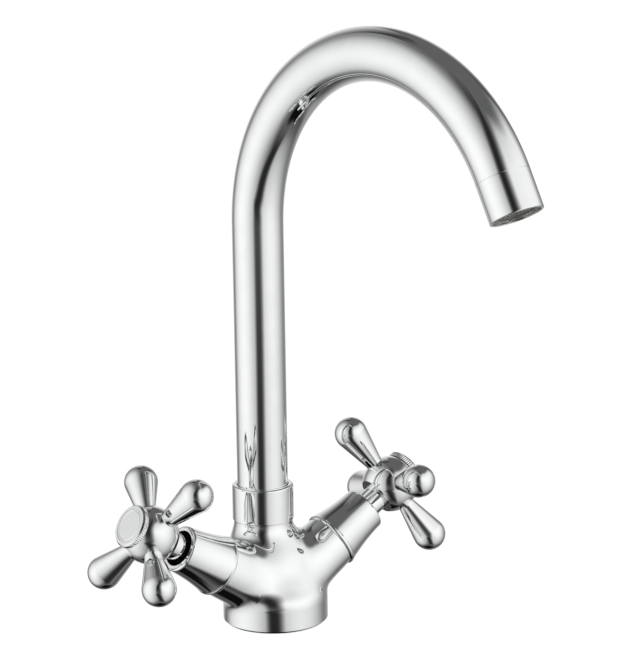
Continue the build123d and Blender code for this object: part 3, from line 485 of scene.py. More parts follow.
def rounded(corners):
    """Closed outline of (radius, height) points from corners (radius, height, rounding), rounded in arcs."""
    outline = []
    for i, corner in enumerate(corners):
        here = np.array(corner[:2], float)
        rounding = corner[2] if len(corner) > 2 else 0
        before = np.array(corners[i - 1][:2], float) - here
        after = np.array(corners[(i + 1) % len(corners)][:2], float) - here
        if not rounding:
            outline.append(tuple(here))
            continue
        before /= np.linalg.norm(before)
        after /= np.linalg.norm(after)
        opening = math.acos(float(np.clip(before @ after, -1, 1)))
        inward = (before + after) / np.linalg.norm(before + after)
        centre = here + inward * rounding / math.sin(opening / 2)
        start = here + before * rounding / math.tan(opening / 2) - centre
        end = here + after * rounding / math.tan(opening / 2) - centre
        sweep = math.atan2(start[0] * end[1] - start[1] * end[0], start @ end)
        count = max(2, int(math.ceil(abs(sweep) / ROUNDING_STEP)))
        for k in range(count + 1):
            turn = sweep * k / count
            outline.append((
                centre[0] + start[0] * math.cos(turn) - start[1] * math.sin(turn),
                centre[1] + start[0] * math.sin(turn) + start[1] * math.cos(turn),
            ))
    return outline


ON_AXIS = 0.000001


def turned_mesh(name, outline, place, gores, wave=None):
    """Solid of revolution of a closed outline, whose radius wave(radius, turn) may change round the turn."""
    points, loops = [], []
    for radius, height in outline:
        first = len(points)
        if radius < ON_AXIS:
            points.append((0.0, 0.0, height))
            loops.append([first] * gores)
            continue
        for k in range(gores):
            turn = 2 * math.pi * k / gores
            out = wave(radius, turn) if wave else radius
            points.append((out * math.cos(turn), out * math.sin(turn), height))
        loops.append(list(range(first, first + gores)))
    faces = []
    for i in range(len(loops)):
        a, b = loops[i - 1], loops[i]
        if a[0] == a[1] and b[0] == b[1]:
            continue
        for k in range(gores):
            n = (k + 1) % gores
            face = [a[k], a[n], b[n], b[k]]
            faces.append([v for m, v in enumerate(face) if v != face[m - 1]])
    mesh = bpy.data.meshes.new(name)
    mesh.from_pydata([place @ (Vector(p) * MM) for p in points], [], faces)
    maker = bmesh.new()
    maker.from_mesh(mesh)
    bmesh.ops.recalc_face_normals(maker, faces=maker.faces)
    maker.to_mesh(mesh)
    maker.free()
    return mesh


CUTTER_GORES = 64


def cutter(outline, place=Matrix()):
    """A turned tool for carve()."""
    return link_mesh("cutter", turned_mesh("cutter", outline, place, CUTTER_GORES))


def cylinder(radius, bottom, top):
    """Outline of a solid bar."""
    return [(0, bottom), (radius, bottom), (radius, top), (0, top)]


points, quads = skin_of(casting_depth, CAST_LOW, CAST_HIGH, CAST_GRID)
casting_mesh = bpy.data.meshes.new("body_casting")
casting_mesh.from_pydata(points.tolist(), [], quads.tolist())
maker = bmesh.new()
maker.from_mesh(casting_mesh)


def trim(maker, point, normal):
    """Cuts the casting's skin off flat and returns the rim that is left."""
    point, normal = Vector(point), Vector(normal)
    bmesh.ops.bisect_plane(
        maker,
        geom=maker.verts[:] + maker.edges[:] + maker.faces[:],
        dist=PLANE_TOLERANCE,
        plane_co=point,
        plane_no=normal,
        clear_outer=True,
    )
    rim = [e for e in maker.edges if e.is_boundary]
    return [e for e in rim if all(abs((v.co - point).dot(normal)) < RIM_TOLERANCE for v in e.verts)]


def drawn_in(maker, rim, centre, scale, height):
    """Carries a rim on to a new height, drawn in towards the centre, and returns the new rim."""
    x, y = centre
    grown = bmesh.ops.extrude_edge_only(maker, edges=rim)["geom"]
    for v in (g for g in grown if isinstance(g, bmesh.types.BMVert)):
        v.co = (x + (v.co.x - x) * scale, y + (v.co.y - y) * scale, height)
    return [g for g in grown if isinstance(g, bmesh.types.BMEdge) and g.is_boundary]


for side in (-1, 1):
    out = Vector((side * math.cos(ARM_ELEVATION), 0, math.sin(ARM_ELEVATION)))
    rim = trim(maker, Vector((0, 0, ARM_ROOT_HEIGHT)) + out * ARM_LENGTH, out)
    bmesh.ops.edgeloop_fill(maker, edges=rim)
rim = trim(maker, (0, 0, BASE_EDGE), (0, 0, -1))
rim = drawn_in(maker, rim, (0, 0), (BASE_RADIUS - BASE_EDGE) / BASE_RADIUS, 0)
bmesh.ops.edgeloop_fill(maker, edges=rim)
rim = trim(maker, (0, 0, NECK_HEIGHT), (0, 0, 1))
rim = drawn_in(maker, rim, (0, COLUMN_SETBACK), BOSS_RADIUS / NECK_RADIUS, NECK_HEIGHT)
rim = drawn_in(maker, rim, (0, COLUMN_SETBACK), 1, BOSS_TOP)
bmesh.ops.edgeloop_fill(maker, edges=rim)
bmesh.ops.recalc_face_normals(maker, faces=maker.faces)
bmesh.ops.scale(maker, vec=(MM, MM, MM), verts=maker.verts)
maker.to_mesh(casting_mesh)
maker.free()
body_casting = link_mesh("body_casting", casting_mesh)

# The machining: the hollow under the base with its seal groove, the fixing stud's hole, the two inlets,
# the spout's socket over the mixing chamber, the valve bores and the passages between them.
RECESS_RADIUS = 17.0
RECESS_DEPTH = 3.0
GROOVE_INNER = 19.6
GROOVE_OUTER = 22.4
GROOVE_DEPTH = 1.6
INLET_OFFSET = 10.5
INLET_RADIUS = 4.5
INLET_TOP = 13.0
PASSAGE_RADIUS = 3.0
STUD_OFFSET = 11.0
STUD_RADIUS = 3.4
STUD_TOP = 15.0
SOCKET_RADIUS = 9.58
SOCKET_FLOOR = 37.5
MIXING_RADIUS = 7.0
MIXING_FLOOR = 28.5
VALVE_BORE = 10.3
VALVE_CHAMBER = 9.9
VALVE_THREAD_BOTTOM = -10.0
VALVE_SEAT = -21.6
SEAT_PORT = 4.0
WAY_OUT = -13.5
OVERSHOOT = 1.0


def bar_between(radius, start, end):
    """Round cutter from one point to another."""
    start, end = Vector(start), Vector(end)
    turn = Vector((0, 0, 1)).rotation_difference(end - start).to_matrix().to_4x4()
    return cutter(cylinder(radius, 0, (end - start).length), Matrix.Translation(start * MM) @ turn)


column = Matrix.Translation((0, COLUMN_SETBACK * MM, 0))
carve(body_casting, cutter(cylinder(RECESS_RADIUS, -OVERSHOOT, RECESS_DEPTH)))
seal_groove = [
    (GROOVE_INNER, -OVERSHOOT),
    (GROOVE_OUTER, -OVERSHOOT),
    (GROOVE_OUTER, GROOVE_DEPTH),
    (GROOVE_INNER, GROOVE_DEPTH),
]
carve(body_casting, cutter(seal_groove))
carve(body_casting, bar_between(STUD_RADIUS, (0, -STUD_OFFSET, 0), (0, -STUD_OFFSET, STUD_TOP)))
socket = [
    (0, MIXING_FLOOR),
    (MIXING_RADIUS, MIXING_FLOOR),
    (MIXING_RADIUS, SOCKET_FLOOR),
    (SOCKET_RADIUS, SOCKET_FLOOR),
    (SOCKET_RADIUS, BOSS_TOP + OVERSHOOT),
    (0, BOSS_TOP + OVERSHOOT),
]
carve(body_casting, cutter(socket, column))
chamber = (0, COLUMN_SETBACK, (MIXING_FLOOR + SOCKET_FLOOR) / 2)
for side in (-1, 1):
    place = arm_place(side)
    port_bottom = INLET_OFFSET / math.cos(ARM_ELEVATION) - ARM_LENGTH
    bore = [
        (0, port_bottom),
        (SEAT_PORT, port_bottom),
        (SEAT_PORT, VALVE_SEAT),
        (VALVE_CHAMBER, VALVE_SEAT),
        (VALVE_CHAMBER, VALVE_THREAD_BOTTOM),
        (VALVE_BORE, VALVE_THREAD_BOTTOM),
        (VALVE_BORE, OVERSHOOT),
        (0, OVERSHOOT),
    ]
    x = side * INLET_OFFSET
    meeting = ARM_ROOT_HEIGHT + INLET_OFFSET * math.tan(ARM_ELEVATION)
    carve(body_casting, cutter(bore, place))
    carve(body_casting, bar_between(INLET_RADIUS, (x, 0, 0), (x, 0, INLET_TOP)))
    carve(body_casting, bar_between(PASSAGE_RADIUS, (x, 0, INLET_TOP - OVERSHOOT), (x, 0, meeting)))
    way_out = place @ Vector((0, 0, WAY_OUT * MM)) / MM
    carve(body_casting, bar_between(PASSAGE_RADIUS, way_out, chamber))


def noise_of(tree, size, detail=2.0, roughness=0.5):
    """Noise with features of about that size, in millimetres, fixed to the piece."""
    place = tree.nodes.new("ShaderNodeTexCoord")
    noise = tree.nodes.new("ShaderNodeTexNoise")
    noise.inputs["Scale"].default_value = 1 / (size * MM)
    noise.inputs["Detail"].default_value = detail
    noise.inputs["Roughness"].default_value = roughness
    tree.links.new(place.outputs["Object"], noise.inputs["Vector"])
    return noise.outputs["Fac"]


NOISE_LOW = 0.35
NOISE_HIGH = 0.65


def ranged(tree, value, low, high):
    """Spreads a noise over a range."""
    spread = tree.nodes.new("ShaderNodeMapRange")
    spread.inputs["From Min"].default_value = NOISE_LOW
    spread.inputs["From Max"].default_value = NOISE_HIGH
    spread.inputs["To Min"].default_value = low
    spread.inputs["To Max"].default_value = high
    tree.links.new(value, spread.inputs["Value"])
    return spread.outputs["Result"]


def tinted(tree, shader, noise, first, second):
    """Colours a surface from the first colour to the second as the noise rises."""
    mix = tree.nodes.new("ShaderNodeMix")
    mix.data_type = "RGBA"
    mix.inputs["A"].default_value = (*first, 1)
    mix.inputs["B"].default_value = (*second, 1)
    tree.links.new(ranged(tree, noise, 0, 1), mix.inputs["Factor"])
    tree.links.new(mix.outputs["Result"], shader.inputs["Base Color"])


def dulled(tree, shader, noise, smoothest, dullest):
    """Makes a surface duller as the noise rises."""
    tree.links.new(ranged(tree, noise, smoothest, dullest), shader.inputs["Roughness"])


def bumped(tree, height, depth, below=None):
    """Bump of that depth in millimetres, over another if there is one."""
    bump = tree.nodes.new("ShaderNodeBump")
    bump.inputs["Distance"].default_value = depth * MM
    tree.links.new(height, bump.inputs["Height"])
    if below:
        tree.links.new(below, bump.inputs["Normal"])
    return bump.outputs["Normal"]


def surface(tree, metal=0.0):
    """The shader of a piece's surface."""
    shader = tree.nodes.new("ShaderNodeBsdfPrincipled")
    shader.inputs["Metallic"].default_value = metal
    out = tree.nodes.new("ShaderNodeOutputMaterial")
    tree.links.new(shader.outputs[0], out.inputs["Surface"])
    return shader


CHROME_DIM = (0.90, 0.915, 0.91)
CHROME_BRIGHT = (0.93, 0.94, 0.935)
BUFFING_SHARE = 0.025


def chrome_plate(name, waviness, scuff):
    """Bright chromium: a faint wave left by the polishing wheel, and a film that dulls it here and there."""
    material, tree = new_material(name)
    shader = surface(tree, metal=1.0)
    film = noise_of(tree, size=9, detail=4)
    tinted(tree, shader, film, CHROME_DIM, CHROME_BRIGHT)
    dulled(tree, shader, film, smoothest=0.015, dullest=scuff)
    wave = bumped(tree, noise_of(tree, size=14, detail=1), waviness)
    buffing = bumped(tree, noise_of(tree, size=0.9, detail=3), waviness * BUFFING_SHARE, wave)
    tree.links.new(buffing, shader.inputs["Normal"])
    return material


cast_chrome = chrome_plate("cast_chrome", waviness=0.006, scuff=0.05)
body_casting.data.materials.clear()
body_casting.data.materials.append(cast_chrome)

SHARP_ANGLE = math.radians(32)
SKIN_TOLERANCE = 0.02
SKIN_FACING = 0.8
NO_SLOPE = 0.000001


def casting_shading(piece):
    """The casting's own smooth normals on its skin, and its edges kept everywhere else."""
    mesh = piece.data
    mesh.shade_smooth()
    mesh.set_sharp_from_angle(angle=SHARP_ANGLE)
    spots = np.zeros(len(mesh.vertices) * 3)
    mesh.vertices.foreach_get("co", spots)
    spots = spots.reshape(-1, 3) / MM
    away = slope(casting_depth, spots)
    away /= np.maximum(np.linalg.norm(away, axis=1), NO_SLOPE)[:, None]
    on_skin = np.abs(casting_depth(spots)) < SKIN_TOLERANCE
    normals = np.zeros(len(mesh.loops) * 3)
    mesh.corner_normals.foreach_get("vector", normals)
    normals = normals.reshape(-1, 3)
    corner = np.zeros(len(mesh.loops), int)
    mesh.loops.foreach_get("vertex_index", corner)
    for face in mesh.polygons:
        loops = slice(face.loop_start, face.loop_start + face.loop_total)
        own = corner[loops]
        if on_skin[own].all() and (away[own] @ np.array(face.normal) > SKIN_FACING).all():
            normals[loops] = away[own]
    mesh.normals_split_custom_set(normals.tolist())


casting_shading(body_casting)
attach(body_casting, "fixed")
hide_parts("body")

# ---- Base seal: flat ring moulded in black rubber, pressed into the groove under the base, where it lies
# on the worktop. The mould leaves it matt, with a bloom of pale dust.
RUBBER_BLACK = (0.014, 0.014, 0.015)
SEAL_DUST = (0.045, 0.045, 0.044)


def moulded_rubber(name, dust):
    """Black rubber: matt, finely grained, greyer where dust sticks to it."""
    material, tree = new_material(name)
    shader = surface(tree)
    bloom = noise_of(tree, size=2.2, detail=5, roughness=0.65)
    tinted(tree, shader, bloom, RUBBER_BLACK, dust)
    dulled(tree, shader, bloom, smoothest=0.48, dullest=0.68)
    grain = bumped(tree, noise_of(tree, size=0.35, detail=3), depth=0.015)
    tree.links.new(bumped(tree, bloom, depth=0.03, below=grain), shader.inputs["Normal"])
    return material


def finish_node(node, material):
    """Gives a piece that keeps its own shape its material."""
    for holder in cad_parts[node].material_slots:
        holder.material = material


seal_rubber = moulded_rubber("seal_rubber", SEAL_DUST)
finish_node("base_seal", seal_rubber)

# ---- Spout: drawn brass tube of even wall, bent round a former and plated. Its foot is pushed over the
# spigot and brazed, and its far end takes the turned outlet.
TUBE_RADIUS = 12.0
TUBE_BORE = 11.0
TUBE_FOOT = 61.4
ARC_RADIUS = 85.0
ARC_CENTRE_HEIGHT = 189.0
ARC_ANGLE = math.radians(152.0)
TUBE_GORES = 128
BEND_RINGS = 150
SEAM_EDGE = 0.12
SPOUT_TURN = math.radians(5.8)

spout_place = column @ Matrix.Rotation(SPOUT_TURN, 4, "Z") @ column.inverted()


def bend_frame(turn):
    """Point and outward direction of the tube's centre line at an angle round the bend."""
    outward = Vector((0, math.cos(turn), math.sin(turn)))
    centre = Vector((0, COLUMN_SETBACK - ARC_RADIUS, ARC_CENTRE_HEIGHT))
    return centre + outward * ARC_RADIUS, outward


def tube_mesh():
    """Outside up and round the bend, over the far edge, back down the bore and round the foot."""
    foot = (Vector((0, COLUMN_SETBACK, TUBE_FOOT)), Vector((0, 1, 0)))
    far_turn = ARC_ANGLE - SEAM_EDGE / ARC_RADIUS
    turns = [far_turn * i / BEND_RINGS for i in range(BEND_RINGS + 1)]
    way = [foot] + [bend_frame(turn) for turn in turns]
    end = bend_frame(ARC_ANGLE)
    stations = [(spot, outward, TUBE_RADIUS) for spot, outward in way]
    stations.append((*end, TUBE_RADIUS - SEAM_EDGE))
    stations.append((*end, TUBE_BORE))
    stations += [(spot, outward, TUBE_BORE) for spot, outward in reversed(way)]
    points, faces = [], []
    for spot, outward, radius in stations:
        for k in range(TUBE_GORES):
            turn = 2 * math.pi * k / TUBE_GORES
            across = Vector((1, 0, 0)) * math.sin(turn)
            points.append(spout_place @ ((spot + (outward * math.cos(turn) + across) * radius) * MM))
    count = len(stations)
    for i in range(count):
        for k in range(TUBE_GORES):
            n = (k + 1) % TUBE_GORES
            a, b = i * TUBE_GORES, (i + 1) % count * TUBE_GORES
            faces.append((a + k, b + k, b + n, a + n))
    mesh = bpy.data.meshes.new("spout_bend")
    mesh.from_pydata(points, [], faces)
    return mesh


FLAT_WEIGHT = 80


def smooth(piece, sharp=SHARP_ANGLE):
    """Smooth shading that keeps the edges, with the flats kept flat."""
    piece.data.shade_smooth()
    piece.data.set_sharp_from_angle(angle=sharp)
    flats = piece.modifiers.new("flats", "WEIGHTED_NORMAL")
    flats.keep_sharp = True
    flats.weight = FLAT_WEIGHT


tube_chrome = chrome_plate("tube_chrome", waviness=0.0022, scuff=0.04)
spout_bend = link_mesh("spout_bend", tube_mesh())
spout_bend.data.materials.append(tube_chrome)
smooth(spout_bend)
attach(spout_bend, "spout")
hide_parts("spout_tube")

# ---- Outlet: turned brass end of the spout, plated. Its plug sits in the tube and its bore holds the
# aerator. A fine groove shows where it meets the tube.
OUTLET_LENGTH = 17.6
OUTLET_BORE = 10.7
AERATOR_BORE = 8.8
AERATOR_SEAT = 5.0
PLUG_RADIUS = 10.86
PLUG_LENGTH = 4.0
OUTLET_ROUND = 0.5


def outlet_place():
    """Frame at the seam of the outlet: its Z runs with the water."""
    spot, _ = bend_frame(ARC_ANGLE)
    along = Vector((0, -math.sin(ARC_ANGLE), math.cos(ARC_ANGLE)))
    across = Vector((1, 0, 0))
    place = Matrix((across, along.cross(across), along)).transposed().to_4x4()
    place.translation = spot * MM
    return spout_place @ place


turned_chrome = chrome_plate("turned_chrome", waviness=0.0015, scuff=0.045)
outlet_outline = rounded([
    (AERATOR_BORE, -PLUG_LENGTH),
    (PLUG_RADIUS, -PLUG_LENGTH),
    (PLUG_RADIUS, 0),
    (TUBE_RADIUS - SEAM_EDGE, 0),
    (TUBE_RADIUS, SEAM_EDGE),
    (TUBE_RADIUS, OUTLET_LENGTH, OUTLET_ROUND),
    (OUTLET_BORE, OUTLET_LENGTH, OUTLET_ROUND / 2),
    (OUTLET_BORE, AERATOR_SEAT),
    (AERATOR_BORE, AERATOR_SEAT),
])
outlet_end = link_mesh("outlet_end", turned_mesh("outlet_end", outlet_outline, outlet_place(), TUBE_GORES))
outlet_end.data.materials.append(turned_chrome)
smooth(outlet_end)
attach(outlet_end, "spout")
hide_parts("outlet_sleeve")

# ---- Aerator: a grey plastic ring with key notches screwed into the outlet over a rubber washer, and in it
# a plate that splits the water into jets and a square-meshed screen, moulded in the same plastic.
HOUSING_LIGHT = (0.290, 0.292, 0.270)
HOUSING_DARK = (0.225, 0.228, 0.208)
SCREEN_LIGHT = (0.330, 0.332, 0.310)
SCREEN_DARK = (0.260, 0.262, 0.240)
WASHER_DUST = (0.035, 0.035, 0.036)
MOULD_SPREAD = 0.16


def moulded_plastic(name, light, dark, smoothest):
    """Plastic from a mould: a fine even grain, and a little lime or dust in patches."""
    material, tree = new_material(name)
    shader = surface(tree)
    cloud = noise_of(tree, size=1.8, detail=4, roughness=0.6)
    tinted(tree, shader, cloud, dark, light)
    dulled(tree, shader, cloud, smoothest, smoothest + MOULD_SPREAD)
    tree.links.new(bumped(tree, noise_of(tree, size=0.22, detail=2), depth=0.006), shader.inputs["Normal"])
    return material


aerator_plastic = moulded_plastic("aerator_plastic", HOUSING_LIGHT, HOUSING_DARK, smoothest=0.34)
screen_plastic = moulded_plastic("screen_plastic", SCREEN_LIGHT, SCREEN_DARK, smoothest=0.30)
finish_node("aerator_housing", aerator_plastic)
finish_node("aerator_jet_plate", aerator_plastic)
finish_node("aerator_screen", screen_plastic)
finish_node("aerator_washer", moulded_rubber("washer_rubber", WASHER_DUST))

# ---- Collar: turned and plated brass nut, screwed down on the column over the spout's retainer.
COLLAR_RADIUS = 14.5
COLLAR_TOP = 64.2
COLLAR_ROUND = 1.1
COLLAR_MOUTH = 12.25
COLLAR_ROOF = 60.3
COLLAR_CAVITY = 13.45
COLLAR_THREAD = 12.68

collar_outline = rounded([
    (COLLAR_THREAD, NECK_HEIGHT),
    (COLLAR_RADIUS, NECK_HEIGHT, COLLAR_ROUND / 2),
    (COLLAR_RADIUS, COLLAR_TOP, COLLAR_ROUND),
    (COLLAR_MOUTH, COLLAR_TOP, COLLAR_ROUND / 4),
    (COLLAR_MOUTH, COLLAR_ROOF),
    (COLLAR_CAVITY, COLLAR_ROOF),
    (COLLAR_CAVITY, BOSS_TOP),
    (COLLAR_THREAD, BOSS_TOP),
])
collar = link_mesh("collar", turned_mesh("collar", collar_outline, column, TUBE_GORES))
collar.data.materials.append(turned_chrome)
smooth(collar)
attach(collar, "fixed")
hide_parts("collar_nut")

# ---- Spout seat, hidden under the collar: a spigot turned from brass bar, which two black O-rings seal in
# the column, a nylon washer that its flange turns on, and a split ring of spring steel that holds it down.
BRASS_LIGHT = (0.72, 0.53, 0.27)
BRASS_DARK = (0.56, 0.38, 0.17)
STEEL_LIGHT = (0.62, 0.62, 0.61)
STEEL_DARK = (0.50, 0.50, 0.50)
NYLON_LIGHT = (0.80, 0.79, 0.74)
NYLON_DARK = (0.72, 0.71, 0.66)
ORING_DUST = (0.030, 0.030, 0.031)
LATHE_SPREAD = 0.14


def lathe_rings(tree, place, pitch):
    """The fine rings that a lathe leaves round an axis, on the sides and on the faces alike."""
    spot = tree.nodes.new("ShaderNodeTexCoord")
    onto_axis = tree.nodes.new("ShaderNodeMapping")
    onto_axis.vector_type = "TEXTURE"
    onto_axis.inputs["Location"].default_value = place.translation
    onto_axis.inputs["Rotation"].default_value = place.to_euler()
    parts = tree.nodes.new("ShaderNodeSeparateXYZ")
    flat = tree.nodes.new("ShaderNodeCombineXYZ")
    out = tree.nodes.new("ShaderNodeVectorMath")
    out.operation = "LENGTH"
    along = tree.nodes.new("ShaderNodeMath")
    along.operation = "ADD"
    rings = tree.nodes.new("ShaderNodeTexNoise")
    rings.noise_dimensions = "1D"
    rings.inputs["Scale"].default_value = 1 / (pitch * MM)
    rings.inputs["Detail"].default_value = 2
    tree.links.new(spot.outputs["Object"], onto_axis.inputs["Vector"])
    tree.links.new(onto_axis.outputs[0], parts.inputs[0])
    tree.links.new(parts.outputs["X"], flat.inputs["X"])
    tree.links.new(parts.outputs["Y"], flat.inputs["Y"])
    tree.links.new(flat.outputs[0], out.inputs[0])
    tree.links.new(out.outputs["Value"], along.inputs[0])
    tree.links.new(parts.outputs["Z"], along.inputs[1])
    tree.links.new(along.outputs[0], rings.inputs["W"])
    return rings.outputs["Fac"]


def turned_metal(name, light, dark, place, smoothest):
    """Bare metal from the lathe: rings of the tool, and a tarnish that lies in patches."""
    material, tree = new_material(name)
    shader = surface(tree, metal=1.0)
    tarnish = noise_of(tree, size=3.5, detail=4, roughness=0.6)
    rings = lathe_rings(tree, place, pitch=0.4)
    tinted(tree, shader, tarnish, dark, light)
    dulled(tree, shader, rings, smoothest, smoothest + LATHE_SPREAD)
    tree.links.new(bumped(tree, rings, depth=0.008), shader.inputs["Normal"])
    return material


spigot_brass = turned_metal("spigot_brass", BRASS_LIGHT, BRASS_DARK, column, smoothest=0.2)
retainer_steel = turned_metal("retainer_steel", STEEL_LIGHT, STEEL_DARK, column, smoothest=0.26)
seat_nylon = moulded_plastic("seat_nylon", NYLON_LIGHT, NYLON_DARK, smoothest=0.38)
oring_rubber = moulded_rubber("oring_rubber", ORING_DUST)
finish_node("spout_spigot", spigot_brass)
finish_node("spout_retainer", retainer_steel)
finish_node("spout_bush", seat_nylon)
finish_node("spigot_oring_lower", oring_rubber)
finish_node("spigot_oring_upper", oring_rubber)

# ---- Valves: in each arm a quarter turn cartridge. Its body and spindle are turned from brass bar, its two
# discs are lapped ceramic, and rubber rings, a nylon washer and a steel clip seal it and hold it together.
HANDS = (("left", -1), ("right", 1))
FIXED_LIGHT = (0.86, 0.85, 0.81)
FIXED_DARK = (0.78, 0.77, 0.73)
MOVING_LIGHT = (0.83, 0.82, 0.79)
MOVING_DARK = (0.70, 0.69, 0.66)
CERAMIC_COAT = 0.3


def lapped_ceramic(name, light, dark):
    """Fired alumina, lapped flat: pale and hard, faintly speckled, nearly polished."""
    material, tree = new_material(name)
    shader = surface(tree)
    shader.inputs["Coat Weight"].default_value = CERAMIC_COAT
    speckle = noise_of(tree, size=0.5, detail=5, roughness=0.75)
    tinted(tree, shader, speckle, dark, light)
    dulled(tree, shader, noise_of(tree, size=2.5, detail=2), smoothest=0.12, dullest=0.22)
    tree.links.new(bumped(tree, speckle, depth=0.002), shader.inputs["Normal"])
    return material


fixed_ceramic = lapped_ceramic("fixed_ceramic", FIXED_LIGHT, FIXED_DARK)
moving_ceramic = lapped_ceramic("moving_ceramic", MOVING_LIGHT, MOVING_DARK)
for hand, side in HANDS:
    axis = arm_place(side)
    valve_brass = turned_metal(f"{hand}_valve_brass", BRASS_LIGHT, BRASS_DARK, axis, smoothest=0.22)
    spindle_brass = turned_metal(f"{hand}_spindle_brass", BRASS_LIGHT, BRASS_DARK, axis, smoothest=0.16)
    clip_steel = turned_metal(f"{hand}_clip_steel", STEEL_LIGHT, STEEL_DARK, axis, smoothest=0.24)
    finish_node(f"{hand}_valve_body", valve_brass)
    finish_node(f"{hand}_spindle", spindle_brass)
    finish_node(f"{hand}_spindle_clip", clip_steel)
    finish_node(f"{hand}_fixed_disc", fixed_ceramic)
    finish_node(f"{hand}_moving_disc", moving_ceramic)
    finish_node(f"{hand}_slip_washer", seat_nylon)
    finish_node(f"{hand}_seat_seal", seal_rubber)
    for ring in ("valve_oring", "spindle_oring_inner", "spindle_oring_outer"):
        finish_node(f"{hand}_{ring}", oring_rubber)

# ---- Bonnets: turned brass shrouds with a low bead at the foot, screwed down over the valves and plated.
# They narrow in a long hollow curve to a mouth with a round rim, where the handle's neck comes out.
BONNET_LIP_RADIUS = 14.5
BONNET_LIP = 1.7
BONNET_STEP = (14.2, 2.2)
BONNET_SHOULDER = (14.0, 2.9)
BONNET_WAIST = (12.2, 12.0)
BONNET_MOUTH = (11.1, 23.4)
BONNET_LENGTH = 24.9
BONNET_MOUTH_BORE = 8.5
BONNET_MOUTH_ROUND = 1.2
BONNET_LIP_BORE = 11.8
BONNET_FOOT_ROUND = 1.2
BONNET_LIP_ROUND = 0.4
BONNET_THREAD = 9.1
HEX_ROOM = 11.37
HEX_ROOM_TOP = 9.5
HEX_ROOM_BOTTOM = 2.5
FLANGE_ROOM_TOP = 2.2
CLIP_TOP = 17.9
FLARE_STEPS = 24
# Painted shade for the bonnet's bore: near black, with browner patches of tarnish.
BORE_SHADE_BLACK = (0.012, 0.011, 0.010)
BORE_SHADE_BROWN = (0.035, 0.030, 0.024)
BORE_FACING = 0.75
LEDGE_FACING = 0.5
LEDGE_MARGIN = 0.5


def arc_through(start, middle, end, count):
    """Points along the arc, of less than half a turn, that goes through three points."""
    (ax, ay), (bx, by), (cx, cy) = start, middle, end
    d = 2 * (ax * (by - cy) + bx * (cy - ay) + cx * (ay - by))
    a2, b2, c2 = ax * ax + ay * ay, bx * bx + by * by, cx * cx + cy * cy
    x = (a2 * (by - cy) + b2 * (cy - ay) + c2 * (ay - by)) / d
    y = (a2 * (cx - bx) + b2 * (ax - cx) + c2 * (bx - ax)) / d
    radius = math.hypot(ax - x, ay - y)
    first, last = math.atan2(ay - y, ax - x), math.atan2(cy - y, cx - x)
    sweep = (last - first + math.pi) % (2 * math.pi) - math.pi
    turns = [first + sweep * i / count for i in range(count + 1)]
    return [(x + radius * math.cos(t), y + radius * math.sin(t)) for t in turns]


lip = [
    (BONNET_LIP_BORE, 0),
    (BONNET_LIP_RADIUS, 0, BONNET_FOOT_ROUND),
    (BONNET_LIP_RADIUS, BONNET_LIP, BONNET_LIP_ROUND),
    BONNET_STEP,
]
flare = arc_through(BONNET_SHOULDER, BONNET_WAIST, BONNET_MOUTH, FLARE_STEPS)
rim_and_bore = [
    (BONNET_MOUTH[0], BONNET_LENGTH, BONNET_MOUTH_ROUND),
    (BONNET_MOUTH_BORE, BONNET_LENGTH, BONNET_MOUTH_ROUND / 4),
    (BONNET_MOUTH_BORE, CLIP_TOP),
    (BONNET_THREAD, CLIP_TOP),
    (BONNET_THREAD, HEX_ROOM_TOP),
    (HEX_ROOM, HEX_ROOM_TOP),
    (HEX_ROOM, HEX_ROOM_BOTTOM),
    (BONNET_LIP_BORE, FLANGE_ROOM_TOP),
]
bonnet_outline = rounded(lip + flare + rim_and_bore)

# The plating doesn't reach inside, and the bore is painted near black: painted shade for the dark deep in the
# bonnet, over some real oxide and grease.
bonnet_bore_shade, tree = new_material("bonnet_bore_shade")
shader = surface(tree, metal=0.4)
shade_and_tarnish = noise_of(tree, size=1.6, detail=4)
tinted(tree, shader, shade_and_tarnish, BORE_SHADE_BLACK, BORE_SHADE_BROWN)
dulled(tree, shader, shade_and_tarnish, smoothest=0.45, dullest=0.7)
tree.links.new(bumped(tree, noise_of(tree, size=0.5, detail=3), depth=0.02), shader.inputs["Normal"])


def darken_bore(piece, place):
    """Gives the faces that look at the piece's own axis, and the ledges in its bore, the second material,
    which is the bore's painted shade.
    """
    inward = place.inverted()
    turn = inward.to_3x3()
    for face in piece.data.polygons:
        spot, facing = inward @ face.center / MM, turn @ face.normal
        radius = math.hypot(spot.x, spot.y)
        looking_out = (facing.x * spot.x + facing.y * spot.y) / radius
        is_bore = looking_out < -BORE_FACING
        is_ledge = abs(looking_out) < LEDGE_FACING and radius < BONNET_LIP_BORE
        is_deep = LEDGE_MARGIN < spot.z < CLIP_TOP + LEDGE_MARGIN
        if is_bore or (is_ledge and is_deep):
            face.material_index = 1


for hand, side in HANDS:
    place = arm_place(side)
    shroud = link_mesh(f"{hand}_shroud", turned_mesh(f"{hand}_shroud", bonnet_outline, place, TUBE_GORES))
    shroud.data.materials.append(turned_chrome)
    shroud.data.materials.append(bonnet_bore_shade)
    # The bore's faces and its deep ledges take the painted shade.
    darken_bore(shroud, place)
    smooth(shroud, sharp=math.radians(28))
    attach(shroud, "fixed")
    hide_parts(f"{hand}_bonnet")

